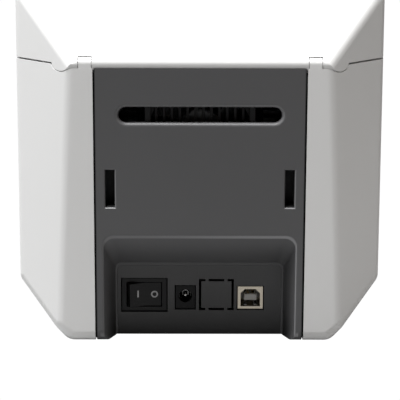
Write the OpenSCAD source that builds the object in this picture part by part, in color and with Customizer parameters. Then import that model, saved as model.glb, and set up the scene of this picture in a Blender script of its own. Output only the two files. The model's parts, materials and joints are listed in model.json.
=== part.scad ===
// Desktop card printer with a hinged lid. The front faces -Y, the back with its connectors faces +Y,
// and the origin is on the table under the middle of the body. Sizes are in millimetres.

/* [Body] */
// Width of the whole body
body_w = 169.4; // [166:0.2:184]
// Length of the whole body
body_l = 360; // [352:1:380]
// Height of the seam between the body and the lid
seam_z = 131.8; // [130:0.2:136]
// Height of the lid's flat top
top_z = 205; // [201:1:215]
// Gap under the body, as far as the rubber feet stand proud
foot_proud = 1.5; // [1.4:0.1:3]
// Thickness of the plastic walls
wall = 2.5; // [2:0.1:3]
// Radius of the body's outer edges
edge_r = 6.5; // [5:0.5:9]
// Height on the sides where the lower chamfers end
chamfer_z = 26.9; // [22:0.1:30]
// Angle of the lower chamfers above the table
chamfer_angle = 47.1; // [42:0.1:52]
// Width of each side shell's flat back face at the seam
shoulder_w = 11; // [10:0.1:13]
// Angle by which the corner bevels turn away from the back and front faces
bevel_angle = 42; // [38:1:45]
// Angle by which the bevels lean inwards with height
bevel_lean = 2.4; // [0:0.1:3]
// Width of the dark strip between the side shells
strip_w = 95.4; // [94:0.2:99]
// Gap between the dark strip and a side shell
seam_gap = 0.7; // [0.4:0.1:1]

/* [Lid] */
// Gap between the body and the lid
lid_gap = 0.8; // [0.6:0.1:1.2]
// Lean of the lid's back face from upright
rear_rake = 38; // [35:1:42]
// Lean of the lid's front face from upright
front_rake = 20; // [12:1:24]
// Height on the sides where the lid's chamfers start
lid_chamfer_z = 178; // [174:1:182]
// Angle of the lid's side chamfers above level
lid_chamfer_angle = 45; // [40:1:50]
// Radius of the round rear edge of the lid, about the hinge axis
barrel_r = 3.5; // [3.3:0.1:3.8]
// Clearance between that edge and the cove that it turns in
barrel_gap = 0.4; // [0.3:0.05:0.6]
// Diameter of the hinge pins
pin_d = 4; // [3:0.1:4.2]
// Height of the white band under the smoked window, above the seam
lid_band = 15; // [14:0.5:20]
// How far behind the middle the smoked window reaches
window_y = 45; // [30:1:60]
// Clearance round the smoked window
window_gap = 0.3; // [0.2:0.05:0.5]

/* [Back] */
// Height of the middle of the air outlet
vent_z = 109.7; // [106:0.1:111]
// Half length of the air outlet
vent_x = 37; // [34:0.25:39]
// Height of the air outlet
vent_h = 7; // [6:0.1:8]
// Radius of the air outlet's rounded rim
vent_rim = 2; // [1:0.1:2.4]
// Distance of each accessory slot from the middle
slot_x = 41; // [40:0.1:43]
// Width of an accessory slot
slot_w = 4.4; // [4.3:0.1:5]
// Height of an accessory slot
slot_h = 17.7; // [16:0.1:19]
// Height of the middle of the accessory slots
slot_z = 75.5; // [68:0.5:80]
// Depth of the connector recess
recess_d = 12.9; // [12:0.1:20]
// Half width of the recess at the back face
recess_x = 45.2; // [44.8:0.1:46]
// Height of the recess at the back face
recess_z = 54; // [48:0.1:56]
// Half width of the connector panel
panel_x = 38.5; // [38.3:0.1:41]
// Height of the top of the connector panel
panel_z = 35.7; // [35.4:0.1:38]
// Thickness of the connector panel
panel_t = 2.2; // [2:0.1:2.6]
// How far the panel's face stands proud of the recess floor round it
panel_proud = 0.8; // [0.4:0.1:1]
// Height below which the panel turns inwards
panel_break = 10.4; // [8:0.1:12]
// Radius of the recess's rounded rim
recess_rim = 1; // [0.6:0.1:3]

/* [Connectors] */
// Height of the main board's upper face
board_z = 14; // [12.4:0.1:14.4]
// Thickness of the circuit boards
board_t = 1.6; // [1.2:0.1:2]
// Position of the power switch across the panel
switch_x = 25.9; // [25.6:0.1:27.2]
// Position of the power inlet across the panel
inlet_x = 6.6; // [6.3:0.1:7.4]
// Position of the network blank across the panel
blank_x = -8; // [-8.3:0.1:-7.6]
// Position of the USB socket across the panel
usb_x = -24; // [-26:0.1:-23.6]
// Width and height of the USB socket's metal shell
usb_w = 12; // [11.8:0.1:12.2]
usb_h = 11; // [10.6:0.1:11.2]
// Width and height of the power inlet's body
inlet_w = 9.2; // [9:0.1:9.4]
inlet_h = 11.2; // [11:0.1:11.4]
// Width and height of the switch's frame
switch_w = 21.1; // [20.8:0.1:21.3]
switch_h = 15.9; // [15.6:0.1:16.1]
// Width and height of the network blank
blank_w = 16.4; // [16:0.1:17.2]
blank_h = 15.3; // [14.8:0.1:15.6]
// Clearance round each connector in the panel
port_gap = 0.4; // [0.3:0.05:0.45]
// Travel of the power switch's rocker, in degrees
rocker_travel = 24; // [20:1:26]

/* [Card path] */
// Height of the underside of a card on its way through
path_z = 95; // [95:0.5:96]
// Width of a card
card_w = 54; // [53.9:0.1:54.2]
// Length of a card
card_l = 85.6; // [85:0.1:86]
// Thickness of a card
card_t = 0.76; // [0.6:0.02:0.9]
// Inner faces of the steel side plates, from the middle
plate_x = 40; // [40:0.1:41]
// Thickness of the steel side plates
plate_t = 1.5; // [1.2:0.1:2]
// Radius of the driven rubber rollers
roller_r = 8; // [7.4:0.1:8.2]
// Radius of the roller shafts
shaft_r = 3; // [2.6:0.1:3.2]
// Running clearance of shafts in their bushes
run_gap = 0.05; // [0.03:0.01:0.08]
// Distance of the pick roller behind the platen
pick_y = 88; // [86:0.5:92]
// Radius of the timing belt's pulleys
pulley_r = 7; // [6:0.1:8]
// Thickness of the timing belt
belt_t = 1.2; // [1:0.1:1.6]
// Inside height of the card hopper
hopper_h = 55; // [50:1:56]
// Gap between the card hopper and the fan
hopper_gap = 7; // [3:0.5:9]

/* [Gears] */
// Module of the gear teeth
gear_m = 1; // [0.98:0.01:1.02]
// Width of the gears
gear_b = 4; // [3:0.1:4.4]
// Backlash between meshing teeth
backlash = 0.24; // [0.2:0.02:0.3]

/* [Ribbon] */
// Height of the ribbon spools above the card path
spool_up = 33; // [32:0.5:34]
// Distance of each ribbon spool from the platen
spool_y = 34; // [33.5:0.1:35]
// Radius of the full supply roll
supply_r = 13; // [10:0.5:13.5]
// Radius of the roll that is taken up
takeup_r = 9; // [8:0.5:11]
// Half width of the ribbon
ribbon_x = 30; // [28.5:0.1:31]

/* [Front] */
// Half width of the card outlet
outlet_x = 31.5; // [30.5:0.1:33]
// Height of the card outlet's lower edge
outlet_z = 49; // [47:0.5:50]
// Height of the card outlet
outlet_h = 42.5; // [40:0.5:43]
// Opening angle of the outlet door
door_travel = 82; // [60:1:84]
// Thickness of the outlet door
door_t = 3; // [2.4:0.1:3.2]
// Travel of the lid release button
release_travel = 3; // [2:0.1:3.2]
// Radius of the round control button
button_r = 6; // [5:0.1:6.4]

/* [Fan] */
// Side of the square fan
fan_w = 50; // [48:1:50]
// Depth of the fan
fan_d = 15; // [12:0.5:15]
// Number of fan blades
blades = 7; // [5:1:9]

/* [Hidden] */
$fn = 48;

rear_y = body_l / 2;
front_y = -body_l / 2;
side_x = body_w / 2;
base_z = foot_proud;
strip_x = strip_w / 2;
shell_x = strip_x + seam_gap;
bevel_x = shell_x + shoulder_w;
lid_z = seam_z + lid_gap;

// The hinge axis lies in the seam, inside the round rear edge of the lid.
hinge_y = rear_y - barrel_r;
hinge_z = seam_z + 1;
cove_r = barrel_r + barrel_gap;
ear_x = [shell_x + 0.6, shell_x + 6.3];
ear_gap = 0.3;

// The tray lies between the side shells' flanges.
tray_x = bevel_x - 0.9;
tray_gap = 0.3;
bezel_depth = 10;
tray_front = front_y + bezel_depth + 0.5;
tray_rear = rear_y - recess_d - panel_t - 1.1;
tray_t = 3;
floor_z = base_z + tray_t;
boss_ys = [front_y + 60, 0, rear_y - 60];
boss_x = shell_x + 4.6;
board_posts = [for (x = [-34, 34], y = [68, tray_rear - 20]) [x, y]];

// Connectors stand on the main board, and their faces lie just behind the panel's.
panel_y = rear_y - recess_d;
port_y = panel_y - 0.6;
switch_z = board_z + 7;
blank_z = board_z + 7.2;

fan_y = [rear_y - wall - 5 - fan_d, rear_y - wall - 5];
fan_z = vent_z - 10;

// The card path is set out from the platen roller, and its place in the body follows from the fan and the
// card hopper behind it. What belongs to the card path is drawn with the platen at Y = 0.
hopper_wall = 2;
pick_inset = 26.5;
train_y = fan_y[0] - hopper_gap - hopper_wall - card_l - 1.4 + pick_inset - pick_y;
front_in_train = front_y - train_y;

// Roller centres, as distance behind the platen and height.
platen = [0, path_z - roller_r];
pitch_22 = 22 * gear_m / 2;
pitch_16 = 16 * gear_m / 2;
span = 2 * (pitch_22 + pitch_16);
rear_at = [span, platen[1]];
front_at = [-span, platen[1]];
pick_at = [pick_y, platen[1]];
nip_gap = 0.3;
cleaning_r = 6;
pinch_r = 5;
cleaning_at = [span, path_z + nip_gap + cleaning_r];
pinch_at = [-span, path_z + nip_gap + pinch_r];
journal_r = 2.5;

// The gear train lies outside the left plate in two layers.
layer_1 = -plate_x - plate_t - 1.5 - gear_b;
layer_2 = layer_1 - 1.5 - gear_b;
reduction_at = [0, platen[1] - pitch_22 - pitch_16];
pinion_at = [0, reduction_at[1] - (40 + 14) * gear_m / 2];
post_r = 2.5;

// The ribbon gears lie between the cartridge and the right plate.
cheek_x = [plate_x - 6, plate_x - 3.5];
supply_at = [spool_y, path_z + spool_up];
takeup_at = [-spool_y, path_z + spool_up];
ribbon_line = 220;
drive_at = takeup_at + (18 + 24) * gear_m / 2 * [cos(ribbon_line), sin(ribbon_line)];
ribbon_gear_x = cheek_x[1] + 0.6;
ribbon_gear_b = 2.2;
core_r = 6;
spool_journal_r = 4;
guide_r = 2.5;
guide_y = 15.5;
film_t = 0.25;
film_z = path_z + 1.7;
guide_z = film_z + film_t + 0.4 + guide_r;

// The hopper holds the cards behind the rear roller.
hopper_x = card_w / 2 + 0.6;
hopper_front = pick_y - pick_inset;
hopper_rear = hopper_front + card_l + 1.4;
hopper_top = path_z + hopper_h;
weight_t = 3.5;
weight_up = 46;

plate_front = -92;
plate_rear = fan_y[0] - 3.5 - train_y;
plate_top = path_z + 17;

motor_w = 42;
door_axis = [front_y + door_t + 0.5, outlet_z + 4];
door_r = door_t + 0.2;
strip_z = [97, 113];
button_at = [strip_x - 17.2, 105];
led_x = button_at[0] - 14;
led_zs = [100, 105, 110];
release_z = [117, 124];
latch_at = [front_y + 16.5, 104];
latch_arm = (release_z[0] + release_z[1]) / 2 - latch_at[1];

function plane(normal, point) = [normal / norm(normal), normal * point / norm(normal)];

// The four corner bevels, each turned away from the end face and leaning inwards with height.
bevel_planes = [for (s = [-1, 1], e = [-1, 1])
    plane([s * tan(bevel_angle), e, tan(bevel_lean) * tan(bevel_angle)], [s * bevel_x, e * rear_y, seam_z])];
body_planes = concat(bevel_planes,
    [for (s = [-1, 1]) plane([s, 0, 0], [s * side_x, 0, 0])],
    [for (s = [-1, 1]) plane([s * sin(chamfer_angle), 0, -cos(chamfer_angle)], [s * side_x, 0, chamfer_z])],
    [plane([0, 1, 0], [0, rear_y, 0]), plane([0, -1, 0], [0, front_y, 0]),
     plane([0, 0, -1], [0, 0, base_z]), plane([0, 0, 1], [0, 0, seam_z + 40])]);
lid_planes = concat(bevel_planes,
    [for (s = [-1, 1]) plane([s, 0, 0], [s * side_x, 0, 0])],
    [for (s = [-1, 1])
        plane([s * sin(lid_chamfer_angle), 0, cos(lid_chamfer_angle)], [s * side_x, 0, lid_chamfer_z])],
    [plane([0, cos(rear_rake), sin(rear_rake)],
           [0, hinge_y + barrel_r * cos(rear_rake), hinge_z + barrel_r * sin(rear_rake)]),
     plane([0, -cos(front_rake), sin(front_rake)], [0, front_y + 0.2, lid_z]),
     plane([0, 0, 1], [0, 0, top_z]), plane([0, 0, -1], [0, 0, seam_z - 40])]);

module block(low, high) {
    translate(low) cube(high - low);
}

// Places what is drawn with the platen roller at Y = 0.
module in_train() {
    translate([0, train_y, 0]) children();
}

module rod_x(r, x0, x1, at) {
    translate([x0, at[0], at[1]]) rotate([0, 90, 0]) cylinder(r = r, h = x1 - x0);
}

module rod_y(r, y0, y1, x, z) {
    translate([x, y1, z]) rotate([90, 0, 0]) cylinder(r = r, h = y1 - y0);
}

module rod_z(r, z0, z1, x, y) {
    translate([x, y, z0]) cylinder(r = r, h = z1 - z0);
}

// Extrudes a side view, drawn with Y to the right and Z up, from x0 to x1.
module along_x(x0, x1) {
    translate([x0, 0, 0]) rotate([90, 0, 90]) linear_extrude(x1 - x0) children();
}

module rounded_rect(low, high, r) {
    translate([low[0] + r, low[1]]) square([high[0] - low[0] - 2 * r, high[1] - low[1]]);
    translate([low[0], low[1] + r]) square([high[0] - low[0], high[1] - low[1] - 2 * r]);
    for (x = [low[0] + r, high[0] - r], y = [low[1] + r, high[1] - r]) translate([x, y]) circle(r);
}

module half_space(normal, distance) {
    size = 1200;
    rotate([0, acos(normal[2]), atan2(normal[1], normal[0])])
        translate([-size / 2, -size / 2, distance - size]) cube(size);
}

// A solid bounded by planes, drawn in by inset, with every edge rounded to r.
module rounded_form(planes, inset, r, facets) {
    minkowski() {
        intersection_for (p = planes) half_space(p[0], p[1] - inset - r);
        sphere(r / cos(180 / facets), $fn = facets);
    }
}

// A solid through a row of rings, each with the same number of points. Seen from the far end of the
// row, looking back, the points run anticlockwise.
module loft(rings) {
    count = len(rings[0]);
    last = len(rings) - 1;
    polyhedron(
        points = [for (ring = rings) each ring],
        faces = concat(
            [[for (i = [0 : count - 1]) i]],
            [for (k = [0 : last - 1], i = [0 : count - 1], half = [0, 1])
                let (a = k * count + i, b = k * count + (i + 1) % count)
                half == 0 ? [a, b + count, b] : [a, a + count, b + count]],
            [[for (i = [count - 1 : -1 : 0]) last * count + i]]));
}

function arc(centre, r, from, to, steps) =
    [for (i = [0 : steps]) let (a = from + (to - from) * i / steps) centre + r * [cos(a), sin(a)]];

// Side shells
module shell_ribs(s) {
    for (y = boss_ys) {
        block([s > 0 ? boss_x - 4.2 : -side_x, y - 4.2, floor_z + 0.1],
              [s > 0 ? side_x : -boss_x + 4.2, y + 4.2, floor_z + 8]);
        block([s > 0 ? side_x - wall - 4 : -side_x, y - 0.8, floor_z + 0.1],
              [s > 0 ? side_x : -side_x + wall + 4, y + 0.8, seam_z - 12]);
    }
}

module side_shell(s) {
    difference() {
        union() {
            difference() {
                intersection() {
                    rounded_form(body_planes, 0, edge_r, 32);
                    block([s > 0 ? shell_x : -side_x - 1, front_y - 1, 0],
                          [s > 0 ? side_x + 1 : -shell_x, rear_y + 1, seam_z]);
                }
                difference() {
                    rounded_form(body_planes, wall, edge_r - wall, 16);
                    shell_ribs(s);
                }
                rod_x(cove_r, -side_x, side_x, [hinge_y, hinge_z]);
            }
            shell_ear(s);
        }
        block([-tray_x - tray_gap, tray_front - 0.5, 0], [tray_x + tray_gap, tray_rear + 0.5, floor_z + 0.1]);
        for (y = boss_ys) rod_z(1.5, 0, floor_z + 7, s * boss_x, y);
        rod_x(pin_d / 2 + 0.02, s > 0 ? 0 : -side_x, s > 0 ? side_x : 0, [hinge_y, hinge_z]);
    }
}

// The ear that carries a hinge pin.
module shell_ear(s) {
    r = barrel_r - 0.1;
    along_x(s > 0 ? ear_x[0] : -ear_x[1], s > 0 ? ear_x[1] : -ear_x[0]) {
        translate([hinge_y, hinge_z]) circle(r);
        translate([hinge_y - r, hinge_z - r - 6]) square([2 * r, r + 6]);
    }
}

module left_shell() {
    color("gainsboro") side_shell(-1);
}

module right_shell() {
    color("gainsboro") side_shell(1);
}

// Side view of the dark strip's wall, at the back or the front, with its rounded lower edge.
module strip_profile(s, depth) {
    intersection() {
        difference() {
            rounded_rect([front_y, base_z], [rear_y, seam_z + 40], edge_r);
            rounded_rect([front_y + wall, base_z + wall], [rear_y - wall, seam_z + 40 - wall], edge_r - wall);
        }
        translate([s > 0 ? rear_y - depth : front_y, 0]) square([depth, seam_z]);
    }
}

// One outline of the connector recess at a depth below the back face, open at the bottom.
function recess_ring(depth, half, top, r) =
    [for (p = concat([[half, -6]], arc([half - r, top - r], r, 0, 90, 6),
                     arc([-half + r, top - r], r, 90, 180, 6), [[-half, -6]]))
        [p[0], rear_y - depth, p[1]]];

// The recess rounds in from the back face and then narrows to the panel. grow moves its walls outwards.
module connector_recess(grow) {
    end = recess_d + panel_proud + grow;
    rim = recess_rim;
    neck_x = recess_x - rim;
    neck_z = recess_z - 0.6 * rim;
    inner_z = (neck_z - panel_z) * rim / recess_d;
    loft(concat(
        [recess_ring(-1, recess_x + grow, recess_z + grow, 5)],
        [for (a = [0 : 15 : 90])
            recess_ring(rim * (1 - cos(a)), neck_x + rim * (1 - sin(a)) + grow,
                        neck_z - inner_z * (1 - cos(a)) + 0.6 * rim * (1 - sin(a)) + grow, 5)],
        [recess_ring(end - 1.6, panel_x + 0.9 + grow, panel_z + 1.6 + grow, 3),
         recess_ring(end - 0.5, panel_x + 0.65 + grow, panel_z + 0.8 + grow, 2.6),
         recess_ring(end, panel_x + 0.3 + grow, panel_z + 0.3 + grow, 2.4)]));
}

function stadium_ring(depth, half, r, z) =
    let (end_x = half - vent_h / 2)
    [for (p = concat(arc([end_x, z], r, -90, 90, 10), arc([-end_x, z], r, 90, 270, 10)))
        [p[0], rear_y - depth, p[1]]];

module vent_opening() {
    loft(concat(
        [stadium_ring(-1, vent_x, vent_h / 2 + vent_rim, vent_z)],
        [for (a = [0 : 18 : 90])
            stadium_ring(vent_rim * (1 - cos(a)), vent_x, vent_h / 2 + vent_rim * (1 - sin(a)), vent_z)],
        [stadium_ring(wall + 1, vent_x, vent_h / 2, vent_z)]));
}

function rect_ring(depth, x, z, w, h) =
    [for (c = [[1, -1], [1, 1], [-1, 1], [-1, -1]]) [x + c[0] * w / 2, rear_y - depth, z + c[1] * h / 2]];

module accessory_slot(x) {
    edge = 0.4;
    loft([rect_ring(-1, x, slot_z, slot_w + 2 * edge, slot_h + 2 * edge),
          rect_ring(0, x, slot_z, slot_w + 2 * edge, slot_h + 2 * edge),
          rect_ring(edge, x, slot_z, slot_w, slot_h),
          rect_ring(wall + 1, x, slot_z, slot_w, slot_h)]);
}

// The closed pocket behind an accessory slot. grow moves its walls outwards.
module slot_pocket(x, grow) {
    block([x - slot_w / 2 - grow, rear_y - 9 - grow, slot_z - slot_h / 2 - grow],
          [x + slot_w / 2 + grow, rear_y - wall / 2, slot_z + slot_h / 2 + grow]);
}

// A square window through the connector panel.
module port_hole(x, z, w, h) {
    block([x - w / 2, panel_y - panel_t - 1, z - h / 2], [x + w / 2, panel_y + 1, z + h / 2]);
}

// The network blank stays joined to the panel by four narrow bridges.
module blank_slits() {
    slit = 1.1;
    bridge = 1.5;
    bridge_x = blank_w * 0.27;
    difference() {
        port_hole(blank_x, blank_z, blank_w, blank_h);
        port_hole(blank_x, blank_z, blank_w - 2 * slit, blank_h - 2 * slit);
        for (s = [-1, 1]) port_hole(blank_x + s * bridge_x, blank_z, bridge, blank_h + 1);
    }
}

module rear_cover() {
    color("dimgray") difference() {
        union() {
            along_x(-strip_x, strip_x) strip_profile(1, rear_y - tray_rear - 0.3);
            intersection() {
                connector_recess(panel_t);
                along_x(-strip_x, strip_x)
                    rounded_rect([rear_y - 40, base_z], [rear_y - wall / 2, recess_z + 10], edge_r - wall / 2);
            }
            for (s = [-1, 1]) {
                cover_flange(s);
                slot_pocket(s * slot_x, 1.6);
            }
        }
        difference() {
            connector_recess(0);
            panel_plate();
        }
        vent_opening();
        for (s = [-1, 1]) slot_pocket(s * slot_x, 0);
        for (s = [-1, 1]) accessory_slot(s * slot_x);
        port_hole(switch_x, switch_z, switch_w + 2 * port_gap, switch_h + 2 * port_gap);
        port_hole(inlet_x, board_z + inlet_h / 2 + 0.2, inlet_w + 2 * port_gap, inlet_h + 2 * port_gap);
        port_hole(usb_x, board_z + usb_h / 2 + 0.1, usb_w + 2 * port_gap, usb_h + 2 * port_gap);
        blank_slits();
        rod_x(cove_r, -strip_x - 1, strip_x + 1, [hinge_y, hinge_z]);
    }
}

// The connector panel stands a little proud of the recess and turns inwards below panel_break.
module panel_plate() {
    back = panel_y - 9;
    turn_in = 0.7;
    intersection() {
        translate([0, panel_y, 0]) rotate([90, 0, 0]) linear_extrude(panel_proud + 0.5)
            rounded_rect([-panel_x, -10], [panel_x, panel_z], 2.2);
        along_x(-panel_x - 1, panel_x + 1)
            polygon([[back, base_z], [back, panel_z + 1], [panel_y, panel_z + 1],
                     [panel_y, panel_break], [panel_y - turn_in, base_z]]);
    }
}

// A stiffening rib along the cover's inside, with tabs that reach in behind the side shell.
module cover_flange(s) {
    low = recess_z + 4;
    high = seam_z - 11;
    block([s > 0 ? strip_x - 2 : -strip_x, rear_y - wall - 7, low],
          [s > 0 ? strip_x : -strip_x + 2, rear_y - wall / 2, high]);
    for (z = [low, (low + high) / 2 - 4, high - 8])
        block([s > 0 ? strip_x - 2 : -strip_x - 5, rear_y - wall - 2.7, z],
              [s > 0 ? strip_x + 5 : -strip_x + 2, rear_y - wall - 0.2, z + 8]);
}

// Front
module front_bezel() {
    color("dimgray") difference() {
        union() {
            along_x(-strip_x, strip_x) strip_profile(-1, bezel_depth);
            for (s = [-1, 1]) {
                latch_ear(s);
                door_ear(s);
                bezel_tabs(s);
            }
            for (x = [-8.5, 8.5], z = [-6, 6])
                rod_y(2, front_y + wall / 2, front_y + 8.5, button_at[0] + x, button_at[1] + z);
        }
        along_x(-outlet_x, outlet_x) translate([front_y - 1, outlet_z]) square([wall + 2, outlet_h]);
        block([-strip_x + 7.5, front_y - 1, strip_z[0]], [strip_x - 7.5, front_y + 1.2, strip_z[1]]);
        block([-15.2, front_y - 1, release_z[0] - 0.4], [15.2, front_y + wall + 1, release_z[1] + 0.4]);
        rod_y(button_r + 0.3, front_y - 1, front_y + wall + 1, button_at[0], button_at[1]);
        for (z = led_zs) rod_y(1.3, front_y - 1, front_y + wall + 1, led_x, z);
        rod_x(2 + run_gap, -20, 20, latch_at);
        rod_x(1.5 + run_gap, -outlet_x - 3, outlet_x + 3, door_axis);
    }
}

// A stiffening rib along the bezel's inside, with tabs that reach in behind the side shell.
module bezel_tabs(s) {
    high = seam_z - 8;
    block([s > 0 ? strip_x - 2 : -strip_x, front_y + wall / 2, 10],
          [s > 0 ? strip_x : -strip_x + 2, front_y + wall + 5, high]);
    for (z = [10, high / 2, high - 8])
        block([s > 0 ? strip_x - 2 : -strip_x - 5, front_y + wall + 0.2, z],
              [s > 0 ? strip_x + 5 : -strip_x + 2, front_y + wall + 2.7, z + 8]);
}

module latch_ear(s) {
    along_x(s > 0 ? 10.5 : -13.5, s > 0 ? 13.5 : -10.5) {
        translate(latch_at) circle(4);
        translate([front_y + wall / 2, latch_at[1] - 4]) square([latch_at[0] - front_y - wall / 2, 8]);
    }
}

module door_ear(s) {
    along_x(s > 0 ? outlet_x + 0.4 : -outlet_x - 3.4, s > 0 ? outlet_x + 3.4 : -outlet_x - 0.4)
        translate([front_y + wall / 2, door_axis[1] - 4]) square([7.5, 8]);
}

module outlet_door() {
    width = outlet_x - 0.5;
    pin_end = outlet_x + 2.6;
    color("dimgray") difference() {
        union() {
            along_x(-width, width) {
                translate(door_axis) circle(door_r);
                translate([front_y, door_axis[1]]) square([door_t, outlet_z + outlet_h - 0.5 - door_axis[1]]);
            }
            for (s = [-1, 1])
                rod_x(1.5, s > 0 ? width - 1 : -pin_end, s > 0 ? pin_end : 1 - width, door_axis);
        }
        // A finger dip in the upper edge.
        translate([0, front_y - 6, outlet_z + outlet_h + 4]) sphere(11);
    }
}

module status_strip() {
    color("black") difference() {
        block([-strip_x + 7.7, front_y, strip_z[0] + 0.2], [strip_x - 7.7, front_y + 1.1, strip_z[1] - 0.2]);
        rod_y(button_r + 0.3, front_y - 1, front_y + 2, button_at[0], button_at[1]);
        for (z = led_zs) rod_y(1.3, front_y - 1, front_y + 2, led_x, z);
    }
}

module led_lenses() {
    color("deepskyblue") for (z = led_zs) rod_y(1.1, front_y + 0.1, front_y + wall + 2.4, led_x, z);
}

module control_button() {
    color("silver") {
        rod_y(button_r, front_y, front_y + 4.6, button_at[0], button_at[1]);
        rod_y(button_r + 1.6, front_y + wall + 0.4, front_y + wall + 1.6, button_at[0], button_at[1]);
    }
}

module control_board() {
    y = front_y + 8.6;
    color("darkgreen") {
        block([led_x - 3, y, strip_z[0] - 2], [strip_x - 6.2, y + board_t, strip_z[1]]);
        block([button_at[0] - 3, y - 2.6, button_at[1] - 3], [button_at[0] + 3, y + 0.1, button_at[1] + 3]);
        for (z = led_zs) block([led_x - 1, y - 1.2, z - 1], [led_x + 1, y + 0.1, z + 1]);
    }
}

module release_button() {
    mid = (release_z[0] + release_z[1]) / 2;
    flange_y = front_y + wall + 0.4;
    color("dimgray") {
        block([-14.8, front_y, release_z[0]], [14.8, front_y + 6, release_z[1]]);
        block([-16.4, flange_y, release_z[0] - 1], [16.4, flange_y + 1.2, release_z[1] + 1]);
        block([-6, front_y + 5, mid - 0.7], [6, latch_at[0] - 2.5, mid + 0.7]);
    }
}

module latch_hook() {
    low = seam_z - 0.5;
    high = seam_z + 3;
    y = latch_at[0];
    color("silver") {
        rod_x(2, -13.3, 13.3, latch_at);
        along_x(-9.5, 9.5) {
            translate(latch_at) circle(3.8);
            translate([y - 2.2, latch_at[1]]) square([4, high - latch_at[1]]);
            polygon([[y - 5, low], [y - 1, low], [y - 1, high], [y - 2.4, high]]);
        }
    }
}

// Base
module base_tray() {
    color("darkslategray") difference() {
        union() {
            block([-tray_x, tray_front, base_z], [tray_x, tray_rear, floor_z]);
            for (p = board_posts) rod_z(3.5, base_z, board_z - board_t, p[0], p[1]);
            for (y = [front_y + 30 : 24 : -40]) block([-36, y - 0.8, base_z], [36, y + 0.8, floor_z + 3]);
        }
        for (p = board_posts) rod_z(1.5, base_z + 1, board_z, p[0], p[1]);
        for (s = [-1, 1], y = boss_ys) {
            rod_z(1.7, base_z - 1, floor_z + 1, s * boss_x, y);
            rod_z(3.3, base_z - 1, base_z + 2.1, s * boss_x, y);
        }
        for (p = foot_places) rod_z(7.2, base_z - 1, base_z + 1.5, p[0], p[1]);
    }
}

foot_places = [for (x = [-46, 46], y = [front_y + 30, rear_y - 38]) [x, y]];

module rubber_feet() {
    color("black") for (p = foot_places) translate([p[0], p[1], 0]) rotate_extrude() {
        square([6, base_z + 1.4]);
        translate([0, 1]) square([7, base_z + 0.4]);
        translate([6, 1]) circle(1);
    }
}

module case_screws() {
    color("silver") {
        for (s = [-1, 1], y = boss_ys) {
            rod_z(1.45, base_z + 1.5, floor_z + 6, s * boss_x, y);
            rod_z(3, base_z + 0.2, base_z + 2, s * boss_x, y);
        }
        for (p = board_posts) {
            rod_z(1.45, floor_z, board_z + 1, p[0], p[1]);
            rod_z(3, board_z + 0.05, board_z + 2, p[0], p[1]);
        }
    }
}

// Side plates, each with a foot turned outwards that is screwed to the tray.
foot_w = 8;

module plate_outline() {
    difference() {
        union() {
            translate([plate_front, floor_z]) square([plate_rear - plate_front, plate_top - floor_z]);
            translate(drive_at) circle(12);
        }
        for (y = [-24, 24]) translate([y, plate_top - 4]) {
            circle(2.8);
            translate([-2.8, 0]) square([5.6, 12]);
        }
        for (at = [rear_at, front_at, platen, pick_at]) translate(at) circle(5 + run_gap);
        for (at = [cleaning_at, pinch_at]) translate(at) circle(journal_r + run_gap);
        translate([118, 50]) rounded_rect([-14, -14], [14, 14], 4);
        translate([-66, 50]) rounded_rect([-14, -14], [14, 14], 4);
    }
}

module left_side_plate() {
    color("lightsteelblue") {
        difference() {
            along_x(-plate_x - plate_t, -plate_x) plate_outline();
            rod_x(11, -plate_x - 5, -plate_x + 5, pinion_at);
        }
        block([-plate_x - foot_w, plate_front, floor_z], [-plate_x, plate_rear, floor_z + plate_t]);
        rod_x(post_r, layer_2 - 0.6, -plate_x, reduction_at);
        for (s = [-1, 1]) rod_x(post_r, layer_1 - 0.3, -plate_x, [s * span / 2, platen[1]]);
    }
}

module right_side_plate() {
    color("lightsteelblue") {
        difference() {
            along_x(plate_x, plate_x + plate_t) plate_outline();
            rod_x(4, plate_x - 5, plate_x + 5, drive_at);
        }
        block([plate_x, plate_front, floor_z], [plate_x + foot_w, plate_rear, floor_z + plate_t]);
    }
}

module tie_bars() {
    color("silver") for (at = [[-80, 24], [-56, 70], [60, 62], [plate_rear - 12, 84]])
        rod_x(3, -plate_x + 0.1, plate_x - 0.1, at);
}

module shaft_bushes() {
    outside = plate_x + plate_t + 0.5;
    color("ivory") for (at = [rear_at, front_at, platen, pick_at], s = [-1, 1]) difference() {
        union() {
            rod_x(5, s > 0 ? plate_x - 1 : -outside, s > 0 ? outside : -plate_x + 1, at);
            rod_x(6.4, s > 0 ? plate_x - 1.2 : -plate_x + 0.1, s > 0 ? plate_x - 0.1 : -plate_x + 1.2, at);
        }
        rod_x(shaft_r + run_gap, -60, 60, at);
    }
}

// Gear outline with involute flanks. tooth is the direction of one tooth's middle, in degrees.
function involute(base, r) = let (t = sqrt(max(0, r * r / (base * base) - 1))) [r, t * 180 / PI - atan(t)];

function gear_points(n, tooth) =
    let (pitch = n * gear_m / 2, base = pitch * cos(20), tip = pitch + 0.85 * gear_m,
         root = pitch - 1.25 * gear_m, start = max(base, root),
         half = 90 / n - backlash / 4 / pitch * 180 / PI + involute(base, pitch)[1],
         flank = [for (i = [0 : 4]) involute(base, start + (tip - start) * i / 4)])
    [for (k = [0 : n - 1]) each concat(
        [polar(root, tooth + k * 360 / n - half - involute(base, start)[1])],
        [for (f = flank) polar(f[0], tooth + k * 360 / n - half + f[1])],
        [for (i = [4 : -1 : 0]) polar(flank[i][0], tooth + k * 360 / n + half - flank[i][1])],
        [polar(root, tooth + k * 360 / n + half + involute(base, start)[1])])];

function polar(r, a) = r * [cos(a), sin(a)];

// A spur gear whose outline lies in the side view, at x0, with width b.
module gear(n, tooth, at, x0, b) {
    along_x(x0, x0 + b) translate(at) polygon(gear_points(n, tooth));
}

module roller(at, r, half, left, right) {
    rod_x(shaft_r, left, right, at);
    rod_x(r, -half, half, at);
}

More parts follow.
